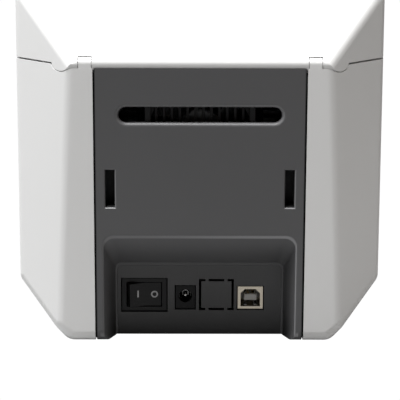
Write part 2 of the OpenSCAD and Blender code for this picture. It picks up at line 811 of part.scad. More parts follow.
module platen_roller() {
    color("dimgray") roller(platen, roller_r, ribbon_x - 1, layer_1 - 0.3, plate_x + plate_t + 2);
}

module platen_gear() {
    color("ivory") difference() {
        gear(22, 0, platen, layer_1, gear_b);
        rod_x(shaft_r + 0.02, -80, 0, platen);
    }
}

module rear_roller() {
    color("dimgray") {
        roller(rear_at, roller_r, card_w / 2, layer_1 - 0.3, plate_x + 10.2);
        gear(22, 0, rear_at, layer_1, gear_b);
        pulley(rear_at);
    }
}

module front_roller() {
    color("dimgray") {
        roller(front_at, roller_r, card_w / 2, layer_1 - 0.3, plate_x + plate_t + 2);
        gear(22, 0, front_at, layer_1, gear_b);
    }
}

module pick_roller() {
    color("dimgray") {
        roller(pick_at, roller_r, 12, -plate_x - plate_t - 2, plate_x + 10.2);
        pulley(pick_at);
    }
}

// A belt pulley with a flange on each side of the belt.
module pulley(at) {
    rod_x(pulley_r, plate_x + 3, plate_x + 9.6, at);
    for (x = [plate_x + 3, plate_x + 8.8]) rod_x(pulley_r + 2, x, x + 0.8, at);
}

module timing_belt() {
    inner = pulley_r + 0.1;
    color("black") along_x(plate_x + 4.1, plate_x + 8.5) difference() {
        belt_loop(inner + belt_t);
        belt_loop(inner);
    }
}

module belt_loop(r) {
    for (at = [rear_at, pick_at]) translate(at) circle(r);
    translate([rear_at[0], rear_at[1] - r]) square([pick_at[0] - rear_at[0], 2 * r]);
}

module cleaning_roller() {
    color("lightblue") {
        rod_x(cleaning_r, -card_w / 2, card_w / 2, cleaning_at);
        rod_x(journal_r, -plate_x - plate_t - 0.5, plate_x + plate_t + 0.5, cleaning_at);
    }
}

module pinch_roller() {
    color("dimgray") {
        rod_x(pinch_r, -card_w / 2, card_w / 2, pinch_at);
        rod_x(journal_r, -plate_x - plate_t - 0.5, plate_x + plate_t + 0.5, pinch_at);
    }
}

module idler(s) {
    at = [s * span / 2, platen[1]];
    color("ivory") difference() {
        gear(16, 11.25, at, layer_1, gear_b);
        rod_x(post_r + run_gap, -80, 0, at);
    }
}

module rear_idler_gear() {
    idler(1);
}

module front_idler_gear() {
    idler(-1);
}

module reduction_gear() {
    color("ivory") difference() {
        union() {
            gear(16, 90, reduction_at, layer_1, gear_b);
            gear(40, 90 + 180 / 40, reduction_at, layer_2, gear_b);
            rod_x(6, layer_2, layer_1 + 0.1, reduction_at);
        }
        rod_x(post_r + run_gap, -80, 0, reduction_at);
    }
}

module motor_pinion() {
    color("gold") {
        gear(14, 90, pinion_at, layer_2, gear_b);
        rod_x(2.5, layer_2 - 0.5, -plate_x + 2, pinion_at);
    }
}

module transport_motor() {
    half = motor_w / 2;
    front = -plate_x + 0.2;
    color("gray") difference() {
        union() {
            along_x(front, front + 34) translate(pinion_at) rounded_rect([-half, -half], [half, half], 4);
            rod_x(10.6, front - plate_t, front + 1, pinion_at);
        }
        rod_x(2.5 + run_gap, front - 5, front + 5, pinion_at);
    }
}

// Card guides
module card_guide() {
    half = plate_x - 0.1;
    edge = roller_r + 1.5;
    reaches = [[rear_at[0] + edge, hopper_front - hopper_wall - 0.5], [edge, rear_at[0] - edge],
               [front_at[0] + edge, -edge], [front_at[0] - edge - 14, front_at[0] - edge]];
    color("darkgray") for (r = reaches) block([-half, r[0], path_z - 2.5], [half, r[1], path_z - 0.5]);
}

module card_hopper() {
    outer_x = hopper_x + hopper_wall;
    outer_y = [hopper_front - hopper_wall, hopper_rear + hopper_wall];
    low = path_z - 2;
    color("darkslategray") difference() {
        union() {
            block([-outer_x, outer_y[0], low], [outer_x, outer_y[1], hopper_top]);
            for (y = [hopper_front + 6, hopper_rear - 14])
                block([-plate_x + 0.1, y, path_z + 6], [plate_x - 0.1, y + 8, path_z + 8]);
        }
        block([-hopper_x, hopper_front, path_z], [hopper_x, hopper_rear, hopper_top + 1]);
        block([-hopper_x, outer_y[0] - 1, path_z], [hopper_x, hopper_front + 1, path_z + 2 * card_t]);
        block([-13, pick_y - roller_r - 1.5, low - 1], [13, pick_y + roller_r + 1.5, path_z + 1]);
        // Finger cut-out in the front wall.
        block([-11, outer_y[0] - 1, hopper_top - 18], [11, hopper_front + 1, hopper_top + 1]);
    }
}

module card_weight() {
    z = path_z + 0.4;
    color("slategray") {
        block([-hopper_x + 0.8, hopper_front + 1, z], [hopper_x - 0.8, hopper_rear - 1, z + weight_t]);
        block([-8, hopper_front + 4, z + weight_t - 0.1], [8, hopper_front + 7, z + weight_t + 5]);
    }
}

// The tray that catches the printed cards.
module output_tray() {
    inner = outlet_x - 1.5;
    low = outlet_z + 6;
    rear = front_at[0] - roller_r - 18;
    color("darkslategray") difference() {
        block([-inner - 2, front_in_train + 9.5, low], [inner + 2, rear, path_z - 4]);
        block([-inner, front_in_train + 6, low + 2], [inner, rear - 2, path_z]);
    }
    color("darkslategray") for (s = [-1, 1])
        block([s > 0 ? inner + 1.9 : -plate_x + 0.1, -88, low + 10],
              [s > 0 ? plate_x - 0.1 : -inner - 1.9, -76, low + 12]);
}

// Electronics
module main_board() {
    color("darkgreen") difference() {
        block([-38.4, 61, board_z - board_t + 0.02], [38.4, tray_rear - 1, board_z]);
        for (p = board_posts) rod_z(1.7, board_z - 3, board_z + 1, p[0], p[1]);
    }
}

module board_components() {
    z = board_z + 0.02;
    color("dimgray") {
        for (x = [-28, -14]) rod_z(5, z, z + 12, x, 84);
        block([-4, 76, z], [12, 92, z + 1.6]);
        block([-30, 100, z], [-10, 112, z + 1.6]);
        for (i = [0 : 4]) block([16 + 4 * i, 76, z], [18 + 4 * i, 96, z + 14]);
        block([16, 78, z], [34, 94, z + 3]);
        for (x = [-20, 0, 20]) block([x - 6, 64, z], [x + 6, 70, z + 7]);
        rod_z(4, z, z + 8, 6, 116);
        block([18, 108, z], [30, 120, z + 5]);
    }
}

module usb_shell() {
    z = board_z + 0.05;
    color("silver") difference() {
        block([usb_x - usb_w / 2, port_y - 16, z], [usb_x + usb_w / 2, port_y, z + usb_h]);
        translate([usb_x, port_y + 1, z + usb_h / 2]) rotate([90, 0, 0])
            linear_extrude(10.5) usb_outline(9, 8.3);
    }
}

// The socket's opening, with its two upper corners cut off.
module usb_outline(w, h) {
    cut = 2;
    polygon([[-w / 2, -h / 2], [w / 2, -h / 2], [w / 2, h / 2 - cut], [w / 2 - cut, h / 2],
             [-w / 2 + cut, h / 2], [-w / 2, h / 2 - cut]]);
}

module usb_insulator() {
    z = board_z + 0.05 + usb_h / 2;
    back = port_y - 9.4;
    color("whitesmoke") {
        block([usb_x - 2.9, back, z - 1.6], [usb_x + 2.9, port_y - 0.8, z + 1.7]);
        translate([usb_x, back + 1, z]) rotate([90, 0, 0]) linear_extrude(1) usb_outline(8.9, 8.2);
    }
}

module power_inlet() {
    z = board_z + 0.05;
    color("black") difference() {
        block([inlet_x - inlet_w / 2, port_y - 13.5, z], [inlet_x + inlet_w / 2, port_y - 0.2, z + inlet_h]);
        rod_y(3.1, port_y - 9.5, port_y + 1, inlet_x, z + 6.2);
    }
}

module metal_contacts() {
    z = board_z + 0.05;
    color("silver") {
        rod_y(1.05, port_y - 9.45, port_y - 1.6, inlet_x, z + 6.2);
        difference() {
            rod_y(3, port_y - 9.4, port_y - 4, inlet_x, z + 6.2);
            rod_y(2.6, port_y - 9, port_y, inlet_x, z + 6.2);
        }
        for (x = [switch_x - 6, switch_x, switch_x + 6])
            block([x - 2.4, port_y - 25, switch_z - 0.4], [x + 2.4, port_y - 18.45, switch_z + 0.4]);
    }
}

rocker_r = 8.1;
rocker_at = [switch_x, port_y - 2.2];

module switch_housing() {
    open_x = rocker_r + 0.2;
    open_z = 6;
    face = port_y - 0.2;
    half_w = switch_w / 2;
    half_h = switch_h / 2;
    color("black") difference() {
        union() {
            block([switch_x - half_w, face - 2.2, switch_z - half_h],
                  [switch_x + half_w, face, switch_z + half_h]);
            block([switch_x - 9.5, face - 18.2, switch_z - 6.9], [switch_x + 9.5, face - 2, switch_z + 6.9]);
        }
        block([switch_x - open_x, face - 11, switch_z - open_z],
              [switch_x + open_x, face + 1, switch_z + open_z]);
        rod_z(1.05, switch_z - 6.6, switch_z + 6.6, rocker_at[0], rocker_at[1]);
    }
}

// Two faces meet in a shallow V and the ends turn about the pivot. It lies with the O side pressed in.
module switch_rocker() {
    tilt = rocker_travel / 2;
    high = 1.6 + 12 * tan(tilt);
    color("black") {
        translate([rocker_at[0], rocker_at[1], switch_z - 5.7]) rotate([0, 0, tilt])
            linear_extrude(11.4) intersection() {
                circle(rocker_r);
                polygon([[-12, high], [0, 1.6], [12, high], [12, -5.5], [-12, -5.5]]);
            }
        rod_z(1, switch_z - 6.5, switch_z + 6.5, rocker_at[0], rocker_at[1]);
    }
}

// Fan
module fan_frame() {
    half = fan_w / 2;
    color("black") {
        difference() {
            block([-half, fan_y[0], fan_z - half], [half, fan_y[1], fan_z + half]);
            rod_y(half - 1.5, fan_y[0] - 1, fan_y[1] + 1, 0, fan_z);
            for (x = [-half + 4, half - 4], z = [-half + 4, half - 4])
                rod_y(2, fan_y[0] - 1, fan_y[1] + 1, x, fan_z + z);
        }
        rod_y(11, fan_y[0], fan_y[0] + 2, 0, fan_z);
        rod_y(1.5, fan_y[0] + 1, fan_y[0] + 9, 0, fan_z);
        for (a = [45 : 90 : 315]) translate([0, fan_y[0], fan_z]) rotate([0, a, 0])
            block([10, 0, -1.5], [half - 1, 2, 1.5]);
    }
}

module fan_rotor() {
    half = fan_w / 2;
    depth = fan_d - 4;
    color("black") translate([0, fan_y[0] + 2.5, fan_z]) {
        difference() {
            rod_y(11, 0, depth, 0, 0);
            rod_y(1.5 + run_gap, -1, 8, 0, 0);
        }
        intersection() {
            difference() {
                rod_y(half - 2.2, 0, depth, 0, 0);
                rod_y(10.5, -1, depth + 1, 0, 0);
            }
            for (i = [0 : blades - 1]) rotate([0, i * 360 / blades, 0])
                translate([half / 2 + 3, depth / 2, 0]) rotate([38, 0, 0])
                    block([-half / 2, -10, -0.7], [half / 2, 10, 0.7]);
        }
    }
}

// Upright bars in front of the fan, seen through the air outlet.
module fan_guard() {
    half = fan_w / 2;
    y = [fan_y[1] + 0.1, rear_y - wall - 0.2];
    color("black") {
        difference() {
            block([-half, y[0], fan_z - half], [half, y[1], fan_z + half]);
            block([-half + 2.5, y[0] - 1, fan_z - half + 2.5], [half - 2.5, y[1] + 1, fan_z + half - 2.5]);
        }
        for (x = [-half + 5.4 : 3.6 : half - 5])
            block([x - 0.6, y[0], fan_z - half + 1], [x + 0.6, y[0] + 2, fan_z + half - 1]);
    }
}

module hinge_pins() {
    ends = [ear_x[0] - 6, ear_x[1] + 3];
    color("silver") for (s = [-1, 1])
        rod_x(pin_d / 2, s > 0 ? ends[0] : -ends[1], s > 0 ? ends[1] : -ends[0], [hinge_y, hinge_z]);
}

// Lid
module lid_wall(outer_facets, inner_facets) {
    difference() {
        rounded_form(lid_planes, 0, edge_r, outer_facets);
        rounded_form(lid_planes, wall, edge_r - wall, inner_facets);
    }
}

module lid_shell() {
    tangent_z = hinge_z + barrel_r * sin(rear_rake);
    slit = [ear_x[0] - ear_gap, ear_x[1] + ear_gap];
    color("gainsboro") difference() {
        union() {
            intersection() {
                lid_wall(32, 16);
                block([-side_x - 1, front_y - 1, lid_z], [side_x + 1, rear_y + 1, top_z + 1]);
            }
            intersection() {
                rounded_form(lid_planes, 0, edge_r, 32);
                rod_x(barrel_r, -bevel_x - 10, bevel_x + 10, [hinge_y, hinge_z]);
            }
            lid_catch();
        }
        difference() {
            block([-side_x, hinge_y, seam_z - 20], [side_x, rear_y + 2, tangent_z]);
            rod_x(barrel_r, -side_x, side_x, [hinge_y, hinge_z]);
        }
        for (s = [-1, 1]) {
            along_x(s > 0 ? slit[0] : -slit[1], s > 0 ? slit[1] : -slit[0]) {
                translate([hinge_y, hinge_z]) circle(cove_r);
                translate([hinge_y, hinge_z - 8]) square([8, 8 + barrel_r]);
            }
            rod_x(pin_d / 2 + run_gap, s > 0 ? ear_x[0] - 6.4 : -ear_x[1] - 3.4,
                  s > 0 ? ear_x[1] + 3.4 : -ear_x[0] + 6.4, [hinge_y, hinge_z]);
        }
        block([-strip_x, front_y - 1, seam_z + lid_band], [strip_x, window_y, top_z + 1]);
    }
}

// The catch for the latch hook, carried on the lid's front wall. Its notch faces the hook's nose.
module lid_catch() {
    y = latch_at[0] - 5.3;
    difference() {
        block([-10, y - 3.4, seam_z - 4], [10, y, seam_z + 9]);
        block([-11, y - 2, seam_z - 1], [11, y + 1, seam_z + 4]);
    }
    block([-10, front_y + 3, seam_z + 5], [10, y, seam_z + 9]);
}

module lid_window() {
    half = strip_x - window_gap;
    color("black") intersection() {
        lid_wall(32, 16);
        block([-half, front_y - 1, seam_z + lid_band + window_gap], [half, window_y - window_gap, top_z + 1]);
    }
}

frame_z = top_z - wall - 6;

module lid_frame() {
    color("darkslategray") difference() {
        union() {
            block([-strip_x - 8, front_y + 56, frame_z - 2], [strip_x + 8, window_y + 20, frame_z]);
            for (x = [-strip_x - 3.6, strip_x + 3.6], y = [front_y + 62, window_y + 14])
                rod_z(2.5, frame_z - 1, top_z - wall - 0.2, x, y);
        }
        for (y = [train_y - 60, train_y + 32]) block([-30, y - 15, frame_z - 3], [30, y + 15, frame_z + 1]);
    }
}

head_z = path_z + 2.5;
head_half = ribbon_x + 2.6;
bracket_z = head_z + 30;

module head_bracket() {
    color("silver") difference() {
        union() {
            block([-head_half, -11, frame_z - 5.2], [head_half, 11, frame_z - 2.2]);
            for (s = [-1, 1])
                block([s > 0 ? head_half - 3 : -head_half, -8, bracket_z],
                      [s > 0 ? head_half : -head_half + 3, 8, frame_z - 3]);
            block([-head_half, -9, bracket_z], [head_half, 9, bracket_z + 3]);
        }
        for (s = [-1, 1]) rod_z(2.15, bracket_z - 1, bracket_z + 4, s * 24, 0);
    }
}

module head_heat_sink() {
    color("darkgray") {
        difference() {
            block([-head_half, -9, head_z + 3], [head_half, 9, head_z + 23]);
            for (y = [-7.8 : 2.6 : 7.8])
                block([-head_half - 1, y - 0.7, head_z + 9], [head_half + 1, y + 0.7, head_z + 20]);
        }
        for (s = [-1, 1]) {
            rod_z(2, head_z + 22, bracket_z + 5, s * 24, 0);
            rod_z(3.4, bracket_z + 3.2, bracket_z + 5, s * 24, 0);
        }
    }
}

module head_ceramic() {
    color("whitesmoke") block([-head_half, -6, head_z - 0.2], [head_half, 6, head_z + 2.98]);
}

// Coil springs that press the head down, between the heat sink and the bracket.
spring_r = 4;
wire_r = 0.5;
coils = 4;

function spring_ring(t, x, low, high) =
    let (a = 360 * coils * t, z = low + (high - low) * t)
    [for (k = [0 : 5]) let (r = spring_r + wire_r * cos(60 * k))
        [x + r * cos(a), r * sin(a), z + wire_r * sin(60 * k)]];

module head_springs() {
    low = head_z + 23 + wire_r + 0.1;
    high = bracket_z - wire_r - 0.1;
    steps = coils * 12;
    color("silver") for (x = [-12, 12])
        loft([for (i = [steps : -1 : 0]) spring_ring(i / steps, x, low, high)]);
}

// Ribbon cartridge
module cheek() {
    difference() {
        union() {
            translate(supply_at) circle(16);
            translate(takeup_at) circle(13);
            polygon([[-26, takeup_at[1] + 6], [-28, plate_top - 9], [-19, film_z + 1],
                     [19, film_z + 1], [28, plate_top - 9], [26, supply_at[1] + 6]]);
        }
        for (at = [supply_at, takeup_at]) translate(at) circle(spool_journal_r + 0.1);
    }
}

module cartridge_frame() {
    color("slategray") {
        for (s = [-1, 1]) {
            along_x(s > 0 ? cheek_x[0] : -cheek_x[1], s > 0 ? cheek_x[1] : -cheek_x[0]) cheek();
            for (y = [-24, 24])
                rod_x(2.5, s > 0 ? cheek_x[1] - 1 : -plate_x - plate_t,
                      s > 0 ? plate_x + plate_t : -cheek_x[1] + 1, [y, plate_top - 4]);
        }
        for (y = [-guide_y, guide_y]) rod_x(guide_r, -cheek_x[0] - 1, cheek_x[0] + 1, [y, guide_z]);
        rod_x(2, -cheek_x[0] - 1, cheek_x[0] + 1, [-spool_y - 10.4, takeup_at[1] + 3]);
        rod_x(1.8, -cheek_x[0] - 1, cheek_x[0] + 1, [spool_y + 13.4, supply_at[1] + 6.4]);
    }
}

module supply_spool() {
    color("dimgray") {
        rod_x(core_r, -cheek_x[0] + 0.4, cheek_x[0] - 0.4, supply_at);
        rod_x(spool_journal_r, -cheek_x[1] - 0.5, cheek_x[1] + 0.5, supply_at);
        rod_x(supply_r - 1, -ribbon_x, ribbon_x, supply_at);
    }
}

module takeup_spool() {
    color("dimgray") {
        rod_x(core_r, -cheek_x[0] + 0.4, cheek_x[0] - 0.4, takeup_at);
        rod_x(spool_journal_r, -cheek_x[1] - 0.5, ribbon_gear_x + 0.1, takeup_at);
        rod_x(takeup_r - 1, -ribbon_x, ribbon_x, takeup_at);
        gear(18, ribbon_line, takeup_at, ribbon_gear_x, ribbon_gear_b);
    }
}

module ribbon_drive_gear() {
    color("ivory") {
        gear(24, ribbon_line - 180 + 7.5, drive_at, ribbon_gear_x, ribbon_gear_b);
        rod_x(1.5, ribbon_gear_x, plate_x + plate_t + 4, drive_at);
    }
}

module ribbon_motor() {
    color("gray") difference() {
        union() {
            rod_x(11, plate_x + plate_t + 0.1, plate_x + plate_t + 24, drive_at);
            rod_x(3.6, plate_x + 0.2, plate_x + plate_t + 1, drive_at);
        }
        rod_x(1.5 + run_gap, plate_x - 1, plate_x + plate_t + 5, drive_at);
    }
}

// The film runs from the supply roll under two guide bars to the take-up roll.
module ribbon_film() {
    g = guide_r + 0.35;
    d = g * 0.7;
    path = [[supply_at[0] - supply_r + 0.3, supply_at[1] - 2],
            [guide_y + g, guide_z], [guide_y + d, guide_z - d], [guide_y, guide_z - g],
            [-guide_y, guide_z - g], [-guide_y - d, guide_z - d], [-guide_y - g, guide_z],
            [takeup_at[0] + takeup_r - 0.3, takeup_at[1] - 2]];
    last = len(path) - 1;
    outer = [for (i = [last : -1 : 0])
        let (run = path[min(i + 1, last)] - path[max(i - 1, 0)])
        path[i] + film_t * [-run[1], run[0]] / norm(run)];
    color("black") along_x(-ribbon_x + 0.5, ribbon_x - 0.5) polygon(concat(path, outer));
}

left_shell();
right_shell();
rear_cover();
front_bezel();
base_tray();
rubber_feet();
in_train() left_side_plate();
in_train() right_side_plate();
in_train() tie_bars();
in_train() card_guide();
in_train() card_hopper();
in_train() shaft_bushes();
main_board();
board_components();
usb_shell();
usb_insulator();
power_inlet();
metal_contacts();
switch_housing();
switch_rocker();
fan_frame();
fan_guard();
fan_rotor();
hinge_pins();
in_train() transport_motor();
in_train() ribbon_motor();
control_board();
status_strip();
led_lenses();
case_screws();
in_train() cartridge_frame();
in_train() ribbon_film();
in_train() output_tray();
in_train() timing_belt();
lid_shell();
lid_window();
lid_frame();
in_train() head_bracket();
in_train() head_springs();
in_train() head_heat_sink();
in_train() head_ceramic();
release_button();
latch_hook();
in_train() platen_roller();
in_train() platen_gear();
in_train() rear_roller();
in_train() front_roller();
in_train() pick_roller();
in_train() cleaning_roller();
in_train() pinch_roller();
in_train() rear_idler_gear();
in_train() front_idler_gear();
in_train() reduction_gear();
in_train() motor_pinion();
in_train() supply_spool();
in_train() takeup_spool();
in_train() ribbon_drive_gear();
control_button();
outlet_door();
in_train() card_weight();
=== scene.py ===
"""Dresses the id card printer: camera, light, floor, finishes and fine detail. Lengths are in metres."""

import json
import math

import bmesh
import bpy
from mathutils import Matrix, Quaternion, Vector


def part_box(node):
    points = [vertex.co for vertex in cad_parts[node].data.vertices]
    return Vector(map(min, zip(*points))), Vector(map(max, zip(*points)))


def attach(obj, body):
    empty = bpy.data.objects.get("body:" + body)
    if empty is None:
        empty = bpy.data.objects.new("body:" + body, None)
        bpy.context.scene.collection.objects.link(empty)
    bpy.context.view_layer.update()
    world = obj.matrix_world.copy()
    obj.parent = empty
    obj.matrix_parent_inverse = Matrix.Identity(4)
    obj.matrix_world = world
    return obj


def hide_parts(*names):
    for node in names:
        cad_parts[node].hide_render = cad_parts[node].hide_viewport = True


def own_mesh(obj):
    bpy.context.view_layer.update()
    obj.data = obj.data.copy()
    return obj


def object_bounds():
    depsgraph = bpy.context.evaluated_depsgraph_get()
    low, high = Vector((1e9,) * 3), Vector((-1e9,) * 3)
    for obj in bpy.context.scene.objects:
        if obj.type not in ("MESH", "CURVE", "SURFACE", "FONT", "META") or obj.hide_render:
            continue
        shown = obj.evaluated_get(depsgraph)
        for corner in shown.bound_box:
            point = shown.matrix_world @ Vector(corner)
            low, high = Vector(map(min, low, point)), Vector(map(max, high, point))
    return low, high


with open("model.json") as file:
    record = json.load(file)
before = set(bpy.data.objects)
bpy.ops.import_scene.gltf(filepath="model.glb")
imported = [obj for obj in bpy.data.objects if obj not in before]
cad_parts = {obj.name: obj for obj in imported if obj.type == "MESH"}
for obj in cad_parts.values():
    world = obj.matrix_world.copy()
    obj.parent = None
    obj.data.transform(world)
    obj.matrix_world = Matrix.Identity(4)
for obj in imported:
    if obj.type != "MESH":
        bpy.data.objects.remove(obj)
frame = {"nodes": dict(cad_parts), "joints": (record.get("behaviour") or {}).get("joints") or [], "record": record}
cad_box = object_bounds()
nodes = frame["nodes"]
scene = bpy.context.scene
mm = 0.001


# Shader expressions
class Value:
    """A number or colour on a socket. Working with it in an expression adds the Math nodes."""

    def __init__(self, tree, socket):
        self.tree = tree
        self.socket = socket

    def work(self, operation, first, second):
        """Adds one Math node; first and second are values or plain numbers."""
        return self.tree.node("ShaderNodeMath", {"operation": operation}, {0: first, 1: second})

    def __add__(self, other):
        return self.work("ADD", self, other)

    def __radd__(self, other):
        return self.work("ADD", other, self)

    def __sub__(self, other):
        return self.work("SUBTRACT", self, other)

    def __rsub__(self, other):
        return self.work("SUBTRACT", other, self)

    def __mul__(self, other):
        return self.work("MULTIPLY", self, other)


class Tree:
    """The nodes of one material or of the room."""

    def __init__(self, owner):
        self.owner = owner
        owner.use_nodes = True
        self.nodes = owner.node_tree.nodes
        self.links = owner.node_tree.links
        self.nodes.clear()

    def node(self, kind, settings=None, sockets=None, out=0):
        """Adds a node with its settings. A socket is linked to a Value, or holds a constant."""
        made = self.nodes.new(kind)
        for name, setting in (settings or {}).items():
            if name == "stops":
                self.set_stops(made.color_ramp.elements, setting)
            else:
                setattr(made, name, setting)
        for key, value in (sockets or {}).items():
            socket = made.inputs[key]
            if isinstance(value, Value):
                self.links.new(value.socket, socket)
            else:
                socket.default_value = (*value, 1) if socket.type == "RGBA" else value
        return Value(self, made.outputs[out]) if made.outputs else None

    @staticmethod
    def set_stops(elements, stops):
        """Places the colours of a ramp: stops is a row of (position, colour)."""
        while len(elements) < len(stops):
            elements.new(0.5)
        for element, (position, colour) in zip(elements, stops):
            element.position = position
            element.color = (*colour, 1)


class Finish(Tree):
    """One material, with the patterns that its colour, roughness and relief are worked out from."""

    def __init__(self, name):
        super().__init__(bpy.data.materials.new(name))
        self.place = self.node("ShaderNodeTexCoord", out="Object")

    def drawn_out(self, stretch):
        """The place on the piece, with features drawn out along the axes whose stretch is below 1."""
        return self.node("ShaderNodeVectorMath", {"operation": "MULTIPLY"}, {0: self.place, 1: stretch})

    def clouds(self, grain, detail=2.0, rough=0.5, stretch=(1, 1, 1)):
        """A value that drifts about 0.5, with features about one grain wide."""
        return self.node("ShaderNodeTexNoise", None, {
            "Vector": self.drawn_out(stretch), "Scale": 1 / grain, "Detail": detail, "Roughness": rough})

    def cells(self, grain, settings=None, out="Distance", jitter=1.0):
        """Cells about one grain wide: how far a point lies from the middle of its cell, or what out names."""
        return self.node("ShaderNodeTexVoronoi", settings, {
            "Vector": self.drawn_out((1, 1, 1)), "Scale": 1 / grain, "Randomness": jitter}, out)

    def rise(self, value, low, high):
        """0 below low and 1 above high, with a smooth rise between them."""
        return self.node("ShaderNodeMapRange", {"interpolation_type": "SMOOTHSTEP"},
                         {"Value": value, "From Min": low, "From Max": high})

    def reach(self, value, start, end):
        """The rise from start to end, measured on either side of zero."""
        return self.rise(value * value, start ** 2, end ** 2)

    def within(self, value, low, high, soft=0.1 * mm):
        """1 where the value lies between low and high, with soft ends."""
        return self.rise(value, low - soft, low + soft) * self.rise(value, high + soft, high - soft)

    def moulding(self, grain):
        """The pits that a spark-eroded mould leaves, a slow drift of colour, and the polish of handling."""
        pits = self.cells(grain) * 0.6 + self.clouds(grain * 0.7, 3.0, 0.6) * 0.7
        flow = self.clouds(34 * mm, 2.0, 0.5, (1, 1, 0.45))
        polish = self.rise(self.clouds(16 * mm, 3.0, 0.55), 0.48, 0.72)
        return pits, flow, polish

    def along(self, axis):
        """How far along X, Y or Z a point of the piece lies."""
        return self.node("ShaderNodeSeparateXYZ", None, {0: self.place}, "XYZ".index(axis))

    def ramp(self, value, stops):
        """Colour that goes through the stops as the value goes from 0 to 1."""
        return self.node("ShaderNodeValToRGB", {"stops": stops}, {0: value})

    def mix(self, first, second, share):
        """Colour that goes from first to second as share goes from 0 to 1."""
        return self.node("ShaderNodeMix", {"data_type": "RGBA"}, {0: share, 6: first, 7: second}, 2)

    def surface(self, colour, rough, relief=None, depth=0.02 * mm, fixed=None):
        """Ends the material. relief is a value whose bumps are depth high; fixed holds sockets by name."""
        sockets = {"Base Color": colour, "Roughness": rough, **(fixed or {})}
        if relief is not None:
            sockets["Normal"] = self.node("ShaderNodeBump", None, {"Height": relief, "Distance": depth})
        shader = self.node("ShaderNodeBsdfPrincipled", None, sockets)
        self.node("ShaderNodeOutputMaterial", None, {"Surface": shader})
        return self.owner


def tone(red, green, blue):
    """Linear colour from screen values of 0 to 255."""
    return tuple(v / 3294.6 if v <= 10 else ((v / 255 + 0.055) / 1.055) ** 2.4 for v in (red, green, blue))


def shade(colour, amount):
    """The colour, darker or paler by a factor."""
    return tuple(v * amount for v in colour)


# Camera, light and floor
def add_object(name, data):
    """Puts a camera, lamp or mesh into the scene."""
    made = bpy.data.objects.new(name, data)
    scene.collection.objects.link(made)
    return made


def face_along(holder, heading, roll=0.0):
    """Turns a camera or lamp so that it looks along heading, and rolls it about that line."""
    turn = Vector(heading).to_track_quat("-Z", "Y") @ Quaternion((0, 0, 1), math.radians(roll))
    holder.rotation_euler = turn.to_euler()


def set_camera(at, swing, dip, roll, lens, sensor):
    """swing is how far the view turns off the length of the body, and dip how far down, in degrees."""
    data = bpy.data.cameras.new("camera")
    data.lens = lens
    data.sensor_width = sensor
    data.clip_start = 10 * mm
    camera = add_object("camera", data)
    camera.location = at
    swing, dip = math.radians(swing), math.radians(dip)
    heading = (-math.sin(swing) * math.cos(dip), -math.cos(swing) * math.cos(dip), -math.sin(dip))
    face_along(camera, heading, roll)
    scene.camera = camera


def set_softbox(name, at, aim, size, watts, tint=(1, 1, 1)):
    """A rectangular area light that stands at one place and points at another."""
    lamp = bpy.data.lights.new(name, "AREA")
    lamp.shape = "RECTANGLE"
    lamp.size, lamp.size_y = size
    lamp.energy = watts
    lamp.color = tint
    holder = add_object(name, lamp)
    holder.location = at
    face_along(holder, Vector(aim) - Vector(at))


def set_room(seen, shed):
    """A white room: seen is how bright it looks, and shed how much light it gives."""
    room = Tree(bpy.data.worlds.new("room"))
    ray = room.node("ShaderNodeLightPath", out="Is Camera Ray")
    dim, bright = [
        room.node("ShaderNodeBackground", None, {"Color": (1, 1, 1), "Strength": s}) for s in (shed, seen)]
    choice = room.node("ShaderNodeMixShader", None, {0: ray, 1: dim, 2: bright})
    room.node("ShaderNodeOutputWorld", None, {"Surface": choice})
    scene.world = room.owner


def lay_floor(half, seen, matt_share):
    """A plain white floor. seen is how bright it looks, and matt_share how much light it throws back."""
    bm = bmesh.new()
    bm.faces.new([bm.verts.new((x * half, y * half, 0)) for x, y in ((-1, -1), (1, -1), (1, 1), (-1, 1))])
    mesh = bpy.data.meshes.new("floor")
    bm.to_mesh(mesh)
    bm.free()
    floor = add_object("floor", mesh)
    paint = Tree(bpy.data.materials.new("floor_white"))
    ray = paint.node("ShaderNodeLightPath", out="Is Camera Ray")
    glow = paint.node("ShaderNodeEmission", None, {"Color": (1, 1, 1), "Strength": seen})
    matt = paint.node("ShaderNodeBsdfDiffuse", None, {"Color": (matt_share, matt_share, matt_share)})
    both = paint.node("ShaderNodeMixShader", None, {0: ray, 1: matt, 2: glow})
    paint.node("ShaderNodeOutputMaterial", None, {"Surface": both})
    mesh.materials.append(paint.owner)


set_camera(at=(5.28 * mm, 949.69 * mm, 265.62 * mm), swing=0.398, dip=14.233, roll=0.205,
           lens=156.6, sensor=36)
scene.view_settings.view_transform = "Standard"
set_room(seen=1.05, shed=0.02)
lay_floor(half=4.0, seen=1.02, matt_share=0.30)
set_softbox("overhead", at=(0.30, 0.20, 1.60), aim=(0, 0.02, 0.12), size=(0.9, 0.4), watts=63)
set_softbox("left_key", at=(0.78, 0.40, 0.70), aim=(0, 0.14, 0.08), size=(0.35, 0.35), watts=2.9)
set_softbox("warm_fill", at=(-0.9, 0.75, 0.45), aim=(0, 0.1, 0.1), size=(0.6, 0.8), watts=0.8,
            tint=(1.0, 0.84, 0.68))


# Places and sizes of the CAD that the finishes and the pieces line up with, in millimetres
def in_mm(place):
    """A place of the frame, in millimetres."""
    return [round(v / mm, 3) for v in place]


mount_at = {mount["name"]: in_mm(mount["pos_m"]) for mount in frame["record"]["mounts"]}
axis_at = {joint["name"]: in_mm(joint["pos_m"]) for joint in frame["joints"] if "pos_m" in joint}
rear_y = in_mm(cad_box[1])[1]
slot_x, _, slot_z = mount_at["slot_left"]
slot_w, slot_h = 4.4, 17.7
fan_z = axis_at["fan_spin"][2]
vent_z, vent_half_h = fan_z + 10, 6.5
sleeve_half, shaft_half = 27.0, 43.0
film_half = in_mm(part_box("ribbon_film")[1])[0] - 0.1
supply_at, takeup_at = axis_at["supply_spin"], axis_at["takeup_spin"]


